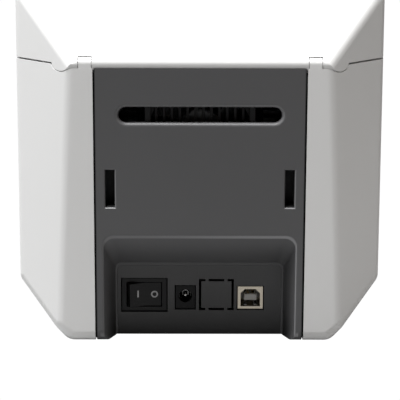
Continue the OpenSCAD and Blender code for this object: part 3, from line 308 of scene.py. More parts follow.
# Finishes
def moulded(name, colour, rough, grain=0.45 * mm, relief=0.016 * mm, drift=0.05, fixed=None):
    """A spark-eroded moulding."""
    f = Finish(name)
    pits, flow, polish = f.moulding(grain)
    skin = f.mix(shade(colour, 1 - drift), shade(colour, 1 + drift), flow)
    return f.surface(skin, rough + (flow - 0.5) * 0.08 - polish * 0.05, pits, relief, fixed)


def slot_edge_highlight(f, x, z, middle):
    """The painted highlight on the edges round one accessory slot: most at one side, least at the top."""
    edge = 0.6 * mm
    left, right = (middle - slot_w / 2) * mm, (middle + slot_w / 2) * mm
    bottom, top = (slot_z - slot_h / 2) * mm, (slot_z + slot_h / 2) * mm
    side = f.within(x, left - edge, left) * f.within(z, bottom - edge, top + edge / 3)
    foot = f.within(x, left - edge, right) * f.within(z, bottom - edge, bottom)
    head = f.within(x, left, right) * f.within(z, top, top + edge)
    return side + foot * 0.6 + head * 0.3


def deep_moulded(name, colour, rough, grain, relief):
    """The dark moulding of the back and the front. Painted shade makes it darker deep in the recess, darker still
    towards the recess floor, and along the two seams.
    Painted highlights make it paler on the rims of the recess, of the slots and of the air outlet."""
    f = Finish(name)
    pits, flow, polish = f.moulding(grain)
    x, y, z = f.along("X"), f.along("Y"), f.along("Z")

    def depth(start, end):
        """The rise between two depths, in millimetres, below the back face."""
        return f.rise(y, (rear_y - start) * mm, (rear_y - end) * mm)

    # Painted shade: darker deep in the recess, darker again below 40 mm and darkest near the bottom
    sunk = depth(1.5, 12) * depth(60, 40)
    low = sunk * f.rise(z, 40 * mm, 4 * mm)
    foot = sunk * f.rise(z, 18 * mm, 3 * mm)
    face = depth(2, 0.6)
    # Painted highlight along the rim of the recess, brightest towards negative X
    rim = (depth(1.4, 0.9) * depth(0.02, 0.4)
           * f.reach(x, 46.2 * mm, 45.9 * mm) * f.rise(z, 55.6 * mm, 55 * mm))
    # Painted highlight along the rim of the air outlet, brightest towards negative X
    vent_rim_highlight = (f.within(y, (rear_y - 1.6) * mm, (rear_y - 0.15) * mm)
                * f.within(z, (vent_z - vent_half_h) * mm, (vent_z + vent_half_h) * mm, 0.3 * mm)
                * f.reach(x, 42 * mm, 40.5 * mm))
    # Painted shade: a dark band on the cover's edges beside the two seams
    seam_shade = f.reach(x, 47.2 * mm, 47.5 * mm) * depth(10, 9.5)
    skin = f.mix(shade(colour, 0.95), shade(colour, 1.05), flow)
    # Each pair mixes painted shade (factor below 1) or a painted highlight (factor above 1) into the colour
    for share, amount in (
            (sunk * 0.85, 0.48), (low * 0.8, 0.177), (foot * 0.7, 0.04),
            (slot_edge_highlight(f, x, z, -slot_x) * face, 2.0), (slot_edge_highlight(f, x, z, slot_x) * face, 2.0),
            (rim * (0.4 + f.rise(x, 38 * mm, -44 * mm) * 0.6), 3.0),
            (vent_rim_highlight * (0.45 + f.rise(x, 20 * mm, -38 * mm) * 0.55), 1.7),
            (seam_shade, 0.06)):
        skin = f.mix(skin, shade(colour, amount), share)
    return f.surface(skin, rough + (flow - 0.5) * 0.08 - polish * 0.05, pits, relief)


def glossy_strip(name, colour):
    """Polished acrylic with a few smears."""
    f = Finish(name)
    smears = f.rise(f.clouds(9 * mm, 4.0, 0.6, (1, 1, 0.5)), 0.5, 0.8)
    return f.surface(f.mix(colour, shade(colour, 1.3), smears), 0.10 + smears * 0.14,
                     f.clouds(3 * mm), 0.01 * mm, {"Coat Weight": 0.6, "Coat Roughness": 0.06})


def smoked(name, colour, alpha):
    """A tinted clear moulding with a little dust."""
    f = Finish(name)
    dust = f.rise(f.clouds(0.9 * mm, 3.0, 0.6), 0.66, 0.8)
    swirl = f.clouds(22 * mm, 3.0)
    return f.surface(f.mix(colour, shade(colour, 1.8), dust), 0.09 + swirl * 0.08 + dust * 0.1,
                     swirl, 0.01 * mm, {"Alpha": alpha, "IOR": 1.49})


def pressed_sheet(name, colour, rough):
    """Zinc-plated sheet: faint crystals, rolling lines and small scuffs."""
    f = Finish(name)
    spangle = f.cells(5 * mm, None, "Color")
    tint = f.node("ShaderNodeSeparateColor", None, {0: spangle})
    lines = f.clouds(0.35 * mm, 3.0, 0.6, (1, 0.06, 1))
    scuff = f.rise(f.clouds(1.4 * mm, 4.0, 0.65, (0.25, 1, 1)), 0.64, 0.72)
    skin = f.mix(f.mix(shade(colour, 0.86), colour, tint), shade(colour, 1.12), lines * 0.6 + scuff * 0.3)
    return f.surface(skin, rough + tint * 0.08 + scuff * 0.14, lines + scuff * 0.3, 0.008 * mm,
                     {"Metallic": 1.0})


def ground_metal(name, colour, rough, grain=0.12 * mm, lay=(1, 0.1, 0.1), tarnish=0.1):
    """Turned or ground metal: fine tool lines and a slow tarnish."""
    f = Finish(name)
    lines = f.clouds(grain, 2.0, 0.6, lay)
    stain = f.clouds(7 * mm, 4.0, 0.6)
    skin = f.mix(shade(colour, 1 - tarnish), colour, stain)
    return f.surface(skin, rough + (stain - 0.5) * 0.12 + (lines - 0.5) * 0.1, lines, 0.006 * mm,
                     {"Metallic": 1.0})


def rubber(name, colour, rough, grain=0.25 * mm, lay=(1, 1, 1), relief=0.02 * mm):
    """Rubber with a fine grain and a faint bloom."""
    f = Finish(name)
    fine = f.clouds(grain, 3.0, 0.65, lay)
    bloom = f.rise(f.clouds(11 * mm, 4.0, 0.6), 0.46, 0.74)
    skin = f.mix(colour, tuple(v * 1.5 + 0.006 for v in colour), bloom)
    return f.surface(skin, rough + bloom * 0.08, fine, relief)


def roller(name, colour, rough):
    """A ground rubber sleeve on a steel shaft with moulded wheels at its ends."""
    f = Finish(name)
    x = f.along("X")
    step = 0.2
    bare = f.reach(x, sleeve_half * mm, (sleeve_half + step) * mm)
    wheels = f.reach(x, shaft_half * mm, (shaft_half + step) * mm)
    shaft = bare * f.reach(x, (shaft_half + step) * mm, shaft_half * mm)
    turning = f.clouds(0.14 * mm, 3.0, 0.6, (1, 0.2, 0.2))
    sleeve = f.mix(shade(colour, 0.85), shade(colour, 1.2), turning)
    skin = f.mix(f.mix(sleeve, (0.62, 0.62, 0.61), bare), (0.70, 0.69, 0.66), wheels)
    return f.surface(skin, rough - bare * (rough - 0.28) + turning * 0.06, turning, 0.008 * mm,
                     {"Metallic": shaft})


def green_board(name):
    """Solder mask over copper: tracks under the mask, tinned pads and rings, and white print."""
    f = Finish(name)
    track = f.rise(f.cells(3.2 * mm, {"feature": "DISTANCE_TO_EDGE"}, jitter=0.85), 0.035, 0.05)
    pad = f.rise(f.cells(4.1 * mm, jitter=0.6), 0.13, 0.10)
    pour = f.rise(f.clouds(13 * mm, 1.0), 0.47, 0.49)
    mask = f.mix(tone(20, 96, 54), tone(11, 66, 38), track)
    mask = f.mix(mask, tone(14, 78, 44), pour * 0.6)
    skin = f.mix(mask, tone(190, 186, 170), pad)
    return f.surface(skin, 0.32 + pad * 0.06, (1 - track) * 0.6 + pad, 0.03 * mm, {"Coat Weight": 0.25})


def dye_film(name):
    """Thermal transfer ribbon, in panels of one colour after another."""
    f = Finish(name)
    way = f.along("Y") * 9.0 + 0.52
    dyes = (tone(20, 20, 24), tone(222, 188, 30), tone(176, 28, 92), tone(20, 112, 158))
    panels = []
    for k, dye in enumerate(dyes):
        panels += [(k * 0.25, dye), (1.0 if k == 3 else k * 0.25 + 0.24, dye)]
    ripple = f.clouds(2.6 * mm, 2.0, 0.5, (1, 0.2, 1))
    skin = f.ramp(way, panels)
    return f.surface(f.mix(skin, (0.01, 0.01, 0.012), ripple * 0.25), 0.2 + ripple * 0.1, ripple, 0.03 * mm)


def wound_film(name, colour):
    """The side and the outer turn of a wound roll of ribbon."""
    f = Finish(name)
    turns = f.clouds(0.2 * mm, 2.0, 0.6, (0.05, 1, 1))
    slack = f.clouds(8 * mm, 2.0)
    return f.surface(f.mix(shade(colour, 0.7), shade(colour, 1.4), turns * 0.5 + slack * 0.5),
                     0.22 + turns * 0.14, turns, 0.02 * mm, {"Coat Weight": 0.3})


def glazed(name, colour):
    """A ceramic strip with a smooth glaze and pale flecks."""
    f = Finish(name)
    fleck = f.rise(f.cells(0.5 * mm), 0.12, 0.06)
    wave = f.clouds(6 * mm)
    return f.surface(f.mix(colour, tone(120, 104, 86), fleck * 0.5), 0.14 + wave * 0.08, wave, 0.01 * mm,
                     {"Coat Weight": 0.5})


def clear_lens(name, colour):
    """An indicator lens that glows a little."""
    f = Finish(name)
    core = f.clouds(1.1 * mm)
    return f.surface(f.mix(colour, shade(colour, 0.7), core), 0.18 + core * 0.06, core, 0.01 * mm,
                     {"Emission Color": colour, "Emission Strength": 0.12, "IOR": 1.49})


finishes = {
    "white_plastic": moulded("white_plastic", (0.80, 0.80, 0.795), 0.46, drift=0.012, relief=0.010 * mm),
    "dark_plastic": deep_moulded("dark_plastic", (0.088, 0.088, 0.091), 0.44, 0.45 * mm, 0.012 * mm),
    "black_plastic": moulded("black_plastic", (0.010, 0.010, 0.0105), 0.42, 0.3 * mm, 0.008 * mm, 0.10,
                             {"Specular IOR Level": 0.22}),
    "gloss_strip": glossy_strip("gloss_strip", (0.010, 0.010, 0.012)),
    "smoked_window": smoked("smoked_window", (0.028, 0.030, 0.034), 0.52),
    "inner_plastic": moulded("inner_plastic", (0.165, 0.170, 0.178), 0.44, 0.6 * mm, 0.012 * mm, 0.06),
    "silver_plastic": moulded("silver_plastic", (0.46, 0.465, 0.475), 0.34, 0.18 * mm, 0.006 * mm, 0.04,
                              {"Metallic": 0.55}),
    "steel": pressed_sheet("steel", (0.60, 0.61, 0.62), 0.30),
    "bright_steel": ground_metal("bright_steel", (0.68, 0.675, 0.66), 0.24),
    "aluminium": ground_metal("aluminium", (0.77, 0.775, 0.785), 0.32, 0.18 * mm, (0.06, 1, 1), 0.08),
    "foot_rubber": rubber("foot_rubber", (0.020, 0.020, 0.021), 0.78),
    "roller_rubber": rubber("roller_rubber", (0.040, 0.040, 0.042), 0.66, 0.14 * mm, (1, 0.2, 0.2)),
    "clean_rubber": rubber("clean_rubber", (0.30, 0.40, 0.50), 0.30, 0.5 * mm, (1, 1, 1), 0.006 * mm),
    "gear_plastic": moulded("gear_plastic", (0.70, 0.69, 0.66), 0.30, 0.5 * mm, 0.006 * mm, 0.03),
    "board_green": green_board("board_green"),
    "chip_black": moulded("chip_black", (0.014, 0.014, 0.015), 0.55, 0.16 * mm, 0.012 * mm, 0.15),
    "tongue_grey": moulded("tongue_grey", (0.36, 0.35, 0.33), 0.4, 0.25 * mm, 0.006 * mm, 0.04),
    "lens": clear_lens("lens", (0.25, 0.55, 0.72)),
    "brass": ground_metal("brass", (0.70, 0.50, 0.22), 0.24, tarnish=0.2),
    "film": dye_film("film"),
    "ceramic": glazed("ceramic", (0.050, 0.040, 0.034)),
    "belt_rubber": rubber("belt_rubber", (0.016, 0.016, 0.017), 0.58, 0.3 * mm, (0.1, 1, 1)),
}
supply_wound = wound_film("supply_roll", (0.030, 0.055, 0.085))
takeup_wound = wound_film("takeup_roll", (0.050, 0.022, 0.040))
# Nodes and pieces whose finish differs from that of their slot
own_finishes = {
    "platen_roller": roller("platen_rubber", (0.040, 0.040, 0.042), 0.62),
    "rear_roller": roller("rear_rubber", (0.055, 0.055, 0.058), 0.66),
    "front_roller": roller("front_rubber", (0.055, 0.055, 0.058), 0.66),
    "pick_roller": roller("pick_rubber", (0.050, 0.044, 0.040), 0.70),
    # Painted shade: a near-black, barely reflecting finish for the strips in the seams
    "seam_shade_seals": moulded("void_black", (0.0035, 0.0035, 0.0037), 0.7, 0.3 * mm, 0.006 * mm, 0.05,
                          {"Specular IOR Level": 0.05}),
    "power_inlet": moulded("inlet_black", (0.0055, 0.0055, 0.006), 0.48, 0.3 * mm, 0.006 * mm, 0.10,
                           {"Specular IOR Level": 0.2}),
    # Partly painted highlight: the leaf's pale, half-metallic finish makes the glint in the jack's mouth
    "jack_spring": moulded("spring_plate", (0.66, 0.66, 0.65), 0.34, 0.2 * mm, 0.003 * mm, 0.04,
                           {"Metallic": 0.25}),
    # Painted shade: the bead is the dark moulding darkened as much as the shaded recess around it
    "panel_bead": moulded("bead_grey", (0.048, 0.048, 0.050), 0.42),
    "switch_marks": moulded("mark_paint", (0.44, 0.44, 0.45), 0.5, 0.2 * mm, 0.004 * mm),
    # Painted light: the blades are pale grey so that the unlit air outlet reads lighter
    "fan_blades": moulded("fan_grey", (0.26, 0.26, 0.265), 0.5),
    "fan_guard": moulded("guard_black", (0.020, 0.020, 0.0205), 0.55, 0.3 * mm, 0.008 * mm, 0.10,
                         {"Specular IOR Level": 0.1}),
    "usb_shell": ground_metal("tinned_shell", (0.60, 0.545, 0.45), 0.36, tarnish=0.18),
    "supply_spool": supply_wound,
    "supply_roll": supply_wound,
    "takeup_spool": takeup_wound,
    "takeup_roll": takeup_wound,
}


# Rounding the carried-over nodes: the width of each one's edge bevel, in millimetres
edge_widths = {
    "left_shell": 0.28, "right_shell": 0.28, "rear_cover": 0.25, "front_bezel": 0.45, "base_tray": 0.4,
    "lid_shell": 0.5, "lid_window": 0.4, "lid_frame": 0.35, "outlet_door": 0.45, "card_hopper": 0.3,
    "output_tray": 0.4, "cartridge_frame": 0.3, "control_button": 0.4, "release_button": 0.4,
    "rubber_feet": 0.6, "status_strip": 0.2, "card_weight": 0.3,
}
finest_edge = 0.12


def round_edges(piece, width, seam_angle=30):
    """Gives hard edges a small radius, in millimetres, and leaves the mesh as it is."""
    edge = piece.modifiers.new("edge", "BEVEL")
    edge.width = width * mm
    edge.segments = 2
    edge.limit_method = "ANGLE"
    edge.angle_limit = math.radians(seam_angle)
    edge.use_clamp_overlap = True
    edge.harden_normals = True
    even = piece.modifiers.new("even", "WEIGHTED_NORMAL")
    even.keep_sharp = True


def soften(node, width, flat_angle=0.4):
    """Joins a node's flat facets, smooths its shading and rounds its edges."""
    piece = nodes[node]
    marks = piece.data.attributes.get("custom_normal")
    if marks:
        piece.data.attributes.remove(marks)
    piece.data.shade_smooth()
    join = piece.modifiers.new("join", "WELD")
    join.merge_threshold = 0.002 * mm
    plain = piece.modifiers.new("plain", "DECIMATE")
    plain.decimate_type = "DISSOLVE"
    plain.angle_limit = math.radians(flat_angle)
    round_edges(piece, width)


for subpart in frame["record"]["subparts"]:
    node = subpart["node"]
    finish = own_finishes.get(node, finishes[subpart["material_slot"]])
    for holder in nodes[node].material_slots:
        holder.material = finish
    soften(node, edge_widths.get(node, finest_edge))


# Mesh helpers. Pieces are drawn in millimetres, in the frame of the CAD.
def set_at(at, heading, side=(1, 0, 0)):
    """A place whose Z runs along heading, and whose X is as near to side as it can be."""
    z = Vector(heading).normalized()
    x = (Vector(side) - z * z.dot(Vector(side))).normalized()
    return Matrix.Translation(at) @ Matrix((x, z.cross(x), z)).transposed().to_4x4()


def arc(centre, radius, angles):
    """Points of a circle, at angles in degrees."""
    return [(centre[0] + radius * math.cos(math.radians(a)), centre[1] + radius * math.sin(math.radians(a)))
            for a in angles]


def rounded_box(half_x, half_y, r, steps):
    """Points round a rectangle with rounded corners, about the origin."""
    points = []
    for turn, (sx, sy) in enumerate(((1, 1), (-1, 1), (-1, -1), (1, -1))):
        angles = [90 * turn + 90 * k / steps for k in range(steps + 1)]
        points += arc((sx * (half_x - r), sy * (half_y - r)), r, angles)
    return points


def outline(place, points, height):
    """Flat points, laid out in a place at one height."""
    return [place @ Vector((x, y, height)) for x, y in points]


def ring(place, radius, height, count):
    """Points round the Z axis of a place."""
    return outline(place, arc((0, 0), radius, [360 * k / count for k in range(count)]), height)


def with_normals(path):
    """Each point of a flat path, with the unit normal to the right of its run."""
    for k, point in enumerate(path):
        before, after = path[max(k - 1, 0)], path[min(k + 1, len(path) - 1)]
        run = math.dist(before, after)
        yield point, ((after[1] - before[1]) / run, (before[0] - after[0]) / run)


def skin(bm, rings, looped=False):
    """Closes a solid through a row of rings, or joins the last ring to the first."""
    rows = [[bm.verts.new(point) for point in points] for points in rings]
    for first, second in zip(rows, rows[1:] + rows[:1] if looped else rows[1:]):
        for k in range(len(first)):
            after = (k + 1) % len(first)
            bm.faces.new((first[k], first[after], second[after], second[k]))
    if not looped:
        bm.faces.new(rows[0][::-1])
        bm.faces.new(rows[-1])


def turned(bm, place, profile, count, looped=False):
    """A lathe piece: profile is a row of (radius, height)."""
    skin(bm, [ring(place, r, h, count) for r, h in profile], looped)


def box(bm, low, high, bevel):
    """A block with its four upright edges and both rims bevelled."""
    mid = [(a + b) / 2 for a, b in zip(low, high)]
    half_x, half_y, half_z = [(b - a) / 2 for a, b in zip(low, high)]
    place = Matrix.Translation(mid)
    levels = ((-half_z, bevel), (-half_z + bevel, 0), (half_z - bevel, 0), (half_z, bevel))
    skin(bm, [outline(place, rounded_box(half_x - inset, half_y - inset, bevel, 1), h)
              for h, inset in levels])


def tube(bm, path, r, count):
    """A round wire along a path of points."""
    path = [Vector(p) for p in path]
    rings = []
    side = Vector((0.123, 0.456, 0.88))
    for k, point in enumerate(path):
        before, after = path[max(k - 1, 0)], path[min(k + 1, len(path) - 1)]
        place = set_at(point, after - before, side)
        side = place.to_3x3() @ Vector((1, 0, 0))
        rings.append(ring(place, r, 0, count))
    skin(bm, rings)


def make_piece(name, body, slot, draw, edge=0.0, stands_for=()):
    """Turns what draw(bm) builds into a piece that rides on body. stands_for names the nodes it replaces."""
    bm = bmesh.new()
    draw(bm)
    bmesh.ops.scale(bm, vec=(mm, mm, mm), verts=bm.verts)
    bmesh.ops.recalc_face_normals(bm, faces=bm.faces)
    mesh = bpy.data.meshes.new(name)
    bm.to_mesh(mesh)
    bm.free()
    mesh.materials.append(own_finishes.get(name, finishes[slot]))
    mesh.shade_smooth()
    mesh.set_sharp_from_angle(angle=math.radians(34))
    piece = add_object(name, mesh)
    if edge:
        round_edges(piece, edge)
    if stands_for:
        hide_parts(*stands_for)
    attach(piece, body)
    return piece


# Connector panel and back
switch_at = axis_at["rocker_turn"]
rocker_tilt = 12
jack_x, _, jack_z = mount_at["power_inlet"]
usb_x, usb_y, usb_z = mount_at["usb_socket"]
tongue_z = usb_z + 0.05
panel_y = usb_y + 0.6


def rocker_face(along, up):
    """A place on the rocker's V-shaped face, along it from the pivot and up from its middle."""
    tilt = math.radians(rocker_tilt)
    swung = Matrix.Translation(switch_at) @ Matrix.Rotation(tilt, 4, "Z")
    lean = math.copysign(tilt, along)
    spot = (along, 1.6 + abs(along) * math.tan(tilt), up)
    return swung @ set_at(spot, (-math.sin(lean), math.cos(lean), 0))


def draw_switch_marks(bm):
    """The I on the raised end and the O on the pressed end, printed on the face."""
    sunk, proud = -0.05, 0.03
    skin(bm, [outline(rocker_face(3.46, 0.5), rounded_box(0.36, 1.65, 0.12, 2), h) for h in (sunk, proud)])
    band = [(0.98, sunk), (1.65, sunk), (1.65, proud), (0.98, proud)]
    turned(bm, rocker_face(-4.37, 0.0), band, 40, looped=True)


def draw_inlet_contacts(bm):
    """The pin with its domed tip, the sprung sleeve that is open below, and the switch's blades."""
    root = 157.05
    dome = arc((0, 6.8), 1.0, range(0, 90, 15))
    turned(bm, set_at((jack_x, root, jack_z), (0, 1, 0)), [(1.0, 0)] + dome + [(0.1, 7.8)], 24)
    section = ((2.62, 157), (2.95, 157), (2.95, 163.0), (2.62, 163.4))
    skin(bm, [[Vector((jack_x + r * across, y, jack_z + r * up)) for r, y in section]
              for across, up in arc((0, 0), 1.0, range(-42, 223, 12))])
    for x in (switch_at[0] - 6, switch_at[0], switch_at[0] + 6):
        box(bm, (x - 2.4, 141.5, 20.6), (x + 2.4, 148.05, 21.4), 0.15)


def draw_usb_tongue(bm):
    """The tongue with a chamfered tip, on the block that closes the back of the socket."""
    place = set_at((usb_x, 157.1, tongue_z), (0, 1, 0))
    half_x, half_z, tip, cut = 3.0, 1.6, 8.6, 0.3
    skin(bm, [outline(place, rounded_box(half_x, half_z, 0.2, 2), h) for h in (0.0, tip - cut)]
         + [outline(place, rounded_box(half_x - cut, half_z - cut, 0.1, 2), tip)])
    back = [(4.4, 2.1), (2.4, 4.05), (-2.4, 4.05), (-4.4, 2.1), (-4.4, -4.05), (4.4, -4.05)]
    skin(bm, [outline(place, back, h) for h in (0.0, 1.0)])


def draw_usb_contacts(bm):
    """Two strips on each face of the tongue."""
    for x in (usb_x - 1.2, usb_x + 1.2):
        for side in (-1, 1):
            z = tongue_z + side * 1.62
            box(bm, (x - 0.5, 158.0, z - 0.08), (x + 0.5, 165.0, z + 0.08), 0.03)


def draw_usb_springs(bm):
    """The leaves pressed out of the metal shell, which grip a plug."""
    leaf = [(158.6, 0.0), (161.0, 0.5), (163.2, 0.75), (164.6, 0.3), (165.4, 0.1)]
    section = ((-0.7, 0), (0.7, 0), (0.7, 0.2), (-0.7, 0.2))
    for x in (usb_x - 2.3, usb_x + 2.3):
        for side in (-1, 1):
            wall = tongue_z + side * 4.15
            skin(bm, [[Vector((x + dx, y, wall - side * (dip + t))) for dx, t in section] for y, dip in leaf])


def draw_jack_spring(bm):
    """The spring leaf that curls over the pin; its pale finish also paints the glint in the jack's mouth."""
    curl = arc((0, 0), 1.0, range(-50, 231, 14))
    tube(bm, [(jack_x + 1.4 * across, 163.2, 20.9 + 1.35 * up) for across, up in curl], 0.2, 8)


def draw_panel_bead(bm):
    """A fine raised bead that frames the connector panel on three sides."""
    half, top, r = 38.75, 35.95, 2.5
    section = ((-0.5, -0.9), (-0.45, 0.05), (-0.2, 0.35), (0.2, 0.45), (0.7, 0.45), (1.1, 0.5), (1.2, -0.9))
    path = [(half, 2.2)] + arc((half - r, top - r), r, range(0, 91, 15))
    path += [(-x, z) for x, z in path[::-1]]
    skin(bm, [[Vector((x + s * out_x, panel_y + h, z + s * out_z)) for s, h in section]
              for (x, z), (out_x, out_z) in with_normals(path)])


def draw_seam_shade_seals(bm):
    """Black strips, a little below the surface, that close the seams beside the rear cover and stand in for the
    shade in them.
    """
    deep, thick, r, foot_z = 0.9, 1.1, 6.5, 1.5
    section = ((47.5, 0), (48.6, 0), (48.6, thick), (47.5, thick))
    path = [(rear_y - deep, 129.0)] + arc((rear_y - r, foot_z + r), r - deep, range(0, -91, -15))
    path += [(-y, z) for y, z in path[::-1]]
    for side in (-1, 1):
        skin(bm, [[Vector((side * x, y + in_y * t, z + in_z * t)) for x, t in section]
                  for (y, z), (in_y, in_z) in with_normals(path)])


def draw_slot_shade_liners(bm):
    """Thin black liners in the two accessory slots, which stand in for the shade inside them."""
    deep, floor = 7.7, 0.15
    outside, inside = rounded_box(2.19, 8.84, 0.1, 1), rounded_box(2.1, 8.75, 0.1, 1)
    for x in (-slot_x, slot_x):
        at = set_at((x, rear_y - 8.98, slot_z), (0, 1, 0))
        skin(bm, [outline(at, outside, 0), outline(at, outside, deep),
                  outline(at, inside, deep), outline(at, inside, floor)])


make_piece("slot_shade_liners", "base", "foot_rubber", draw_slot_shade_liners)
make_piece("jack_spring", "base", "bright_steel", draw_jack_spring)
make_piece("panel_bead", "base", "dark_plastic", draw_panel_bead)
make_piece("seam_shade_seals", "base", "foot_rubber", draw_seam_shade_seals)
make_piece("switch_marks", "power_rocker", "silver_plastic", draw_switch_marks)
make_piece("socket_contacts", "base", "bright_steel", draw_inlet_contacts, 0.05, ("metal_contacts",))
make_piece("usb_tongue", "base", "tongue_grey", draw_usb_tongue, stands_for=("usb_insulator",))
make_piece("usb_tongue_contacts", "base", "brass", draw_usb_contacts)
make_piece("usb_spring_leaves", "base", "bright_steel", draw_usb_springs)


# Fasteners
def draw_cross_head(bm, at, heading, r, high, shank):
    """A pan head with a cross recess, its top at the place given, and its shank behind it."""
    place = set_at(at, heading)
    angles = [0, 16, 30, 45, 60, 74]

    def cross(reach, waist):
        points = []
        for quarter in range(4):
            for a in angles:
                near = min(a, 90 - a)
                size = reach if near == 0 else waist + (reach - waist) * max(0, 1 - near / 20)
                turn = math.radians(90 * quarter + a)
                points.append((size * math.cos(turn), size * math.sin(turn)))
        return points

    def circle(radius):
        return arc((0, 0), radius, [90 * quarter + a for quarter in range(4) for a in angles])

    tip = -high - shank
    profile = [(1.3, tip), (1.45, tip + 0.4), (1.45, -high),
               (r, -high), (r, -0.75 * high + 0.35), (r * 0.93, -0.22 * high), (r * 0.72, 0)]
    rings = [outline(place, circle(radius), h) for radius, h in profile]
    rings.append(outline(place, cross(r * 0.58, r * 0.2), -0.02))
    rings.append(outline(place, cross(r * 0.4, r * 0.12), -0.62 * high))
    skin(bm, rings)


def draw_case_screws(bm):
    """Six screws under the base tray and four that hold the main board."""
    for y in (-120, 0, 120):
        for x in (-53.0, 53.0):
            draw_cross_head(bm, (x, y, 1.7), (0, 0, -1), 3.0, 1.8, 7.0)
    for y in (68, 143.8):
        for x in (-34, 34):
            draw_cross_head(bm, (x, y, 16.0), (0, 0, 1), 3.0, 1.95, 9.5)


make_piece("case_screw_set", "base", "bright_steel", draw_case_screws, stands_for=("case_screws",))


# Fan
def draw_fan_blades(bm):
    """A cupped hub and swept blades whose section is thickest ahead of its middle."""
    blades, stations, root, tip = 7, 8, 10.7, 22.7
    depth, middle, flattest, twist, sweep, taper = 10.3, 5.5, 34, 20, 16, 0.12
    hub = set_at((0, axis_at["fan_spin"][1] - 5, fan_z), (0, 1, 0))
    turned(bm, hub, [(9.6, 0), (10.6, 0), (11.0, 0.4), (11.0, 10.2), (10.2, 11.0), (6.4, 11.0), (6.1, 10.75),
                     (1.0, 10.75), (1.0, 9.4), (9.6, 9.4)], 48, looped=True)
    turned(bm, hub, [(1.56, 0.2), (3.0, 0.2), (3.4, 9.6), (1.56, 9.6)], 24, looped=True)
    section = [(0.0, 0.0), (0.05, 0.55), (0.2, 0.95), (0.45, 1.0), (0.75, 0.6), (1.0, 0.12),
               (0.75, -0.28), (0.45, -0.42), (0.2, -0.42), (0.05, -0.3)]
    for blade in range(blades):
        rings = []
        for k in range(stations):
            part = k / (stations - 1)
            radius = root + (tip - root) * part
            pitch = math.radians(flattest + twist * part)
            chord = depth / math.cos(pitch) * (1 - taper * part ** 3)
            thick = 0.75 - 0.25 * part
            points = []
            for s, t in section:
                across = (s - 0.5) * chord
                out = thick * t + 0.09 * chord * (1 - (2 * s - 1) ** 2)
                axial = middle + across * math.cos(pitch) - out * math.sin(pitch)
                along = across * math.sin(pitch) + out * math.cos(pitch)
                angle = math.radians(360 * blade / blades + sweep * part) + along / radius
                points.append(hub @ Vector((radius * math.cos(angle), radius * math.sin(angle), axial)))
            rings.append(points)
        skin(bm, rings)


make_piece("fan_blades", "fan", "black_plastic", draw_fan_blades, stands_for=("fan_rotor",))


# Print head, belt and ribbon
def draw_head_springs(bm):
    """Coil springs with a closed, ground turn at each end."""
    low, high, turns, closed, r, wire, steps = 121.15, 126.85, 5.0, 0.75, 4.0, 0.5, 24
    lift = 0.14
    for x in (-12, 12):
        path = []
        for k in range(int(turns * steps) + 1):
            t = k / (turns * steps)
            climb = min(1, max(0, (t * turns - closed) / (turns - 2 * closed)))
            a = 2 * math.pi * turns * t
            rise = climb * (1 - lift) + t * lift
            path.append((x + r * math.cos(a), r * math.sin(a), low + (high - low) * rise))
        tube(bm, path, wire, 10)


springs = make_piece("coil_springs", "lid", "bright_steel", draw_head_springs, stands_for=("head_springs",))
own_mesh(springs)


def draw_toothed_belt(bm):
    """A closed belt round both pulleys, with teeth on its inner face."""
    inner, outer, low_x, high_x, tooth, pitch = 7.12, 8.28, 44.15, 48.45, 0.55, 2.5
    _, near_y, axis_z = axis_at["rear_roller_spin"]
    far_y = axis_at["pick_spin"][1]
    straight = far_y - near_y
    wrap = math.pi * inner
    length = 2 * straight + 2 * wrap
    teeth = round(length / pitch)
    rings = []
    for k in range(teeth):
        for share, rise in ((0.0, 0.0), (0.38, 0.0), (0.5, tooth), (0.88, tooth)):
            s = (k + share) * length / teeth
            if s < straight:
                centre_y, lean = near_y + s, 90
            elif s < straight + wrap:
                centre_y, lean = far_y, 90 - math.degrees((s - straight) / inner)
            elif s < 2 * straight + wrap:
                centre_y, lean = far_y - (s - straight - wrap), -90
            else:
                centre_y, lean = near_y, -90 - math.degrees((s - 2 * straight - wrap) / inner)
            y, z = math.cos(math.radians(lean)), math.sin(math.radians(lean))
            section = ((low_x, inner + rise), (high_x, inner + rise), (high_x, outer), (low_x, outer))
            rings.append([Vector((x, centre_y + r * y, axis_z + r * z)) for x, r in section])
    skin(bm, rings, looped=True)


def draw_film(bm):
    """The film from the supply roll, under the two guide bars, to the take-up roll."""
    bar_y, bar_r, bar_z = 15.5, 2.86, 99.85
    supply_r, takeup_r, roll_z, step, columns = 12.75, 8.75, 126.0, 3, 40
    path = [(supply_at[1] - supply_r, roll_z)]
    for y, start, end in ((bar_y, 8, -90), (-bar_y, -90, -188)):
        path += arc((y, bar_z), bar_r, [start + (end - start) * k / 8 for k in range(9)])
    path.append((takeup_at[1] + takeup_r, roll_z))
    fine = []
    for a, b in zip(path, path[1:]):
        steps = max(1, round(math.dist(a, b) / step))
        fine += [tuple(p + (q - p) * k / steps for p, q in zip(a, b)) for k in range(steps)]
    fine.append(path[-1])
    rings = []
    for k, ((y, z), (out_y, out_z)) in enumerate(with_normals(fine)):
        upper, lower = [], []
        for i in range(columns + 1):
            x = -film_half + 2 * film_half * i / columns
            ripple = 0.05 * math.sin(0.9 * x + 0.11 * k) + 0.03 * math.sin(2.3 * x - 0.2 * k)
            for row, lift in ((upper, 0.10), (lower, 0.02)):
                row.append(Vector((x, y + out_y * (lift + ripple), z + out_z * (lift + ripple))))
        rings.append(upper + lower[::-1])
    skin(bm, rings)


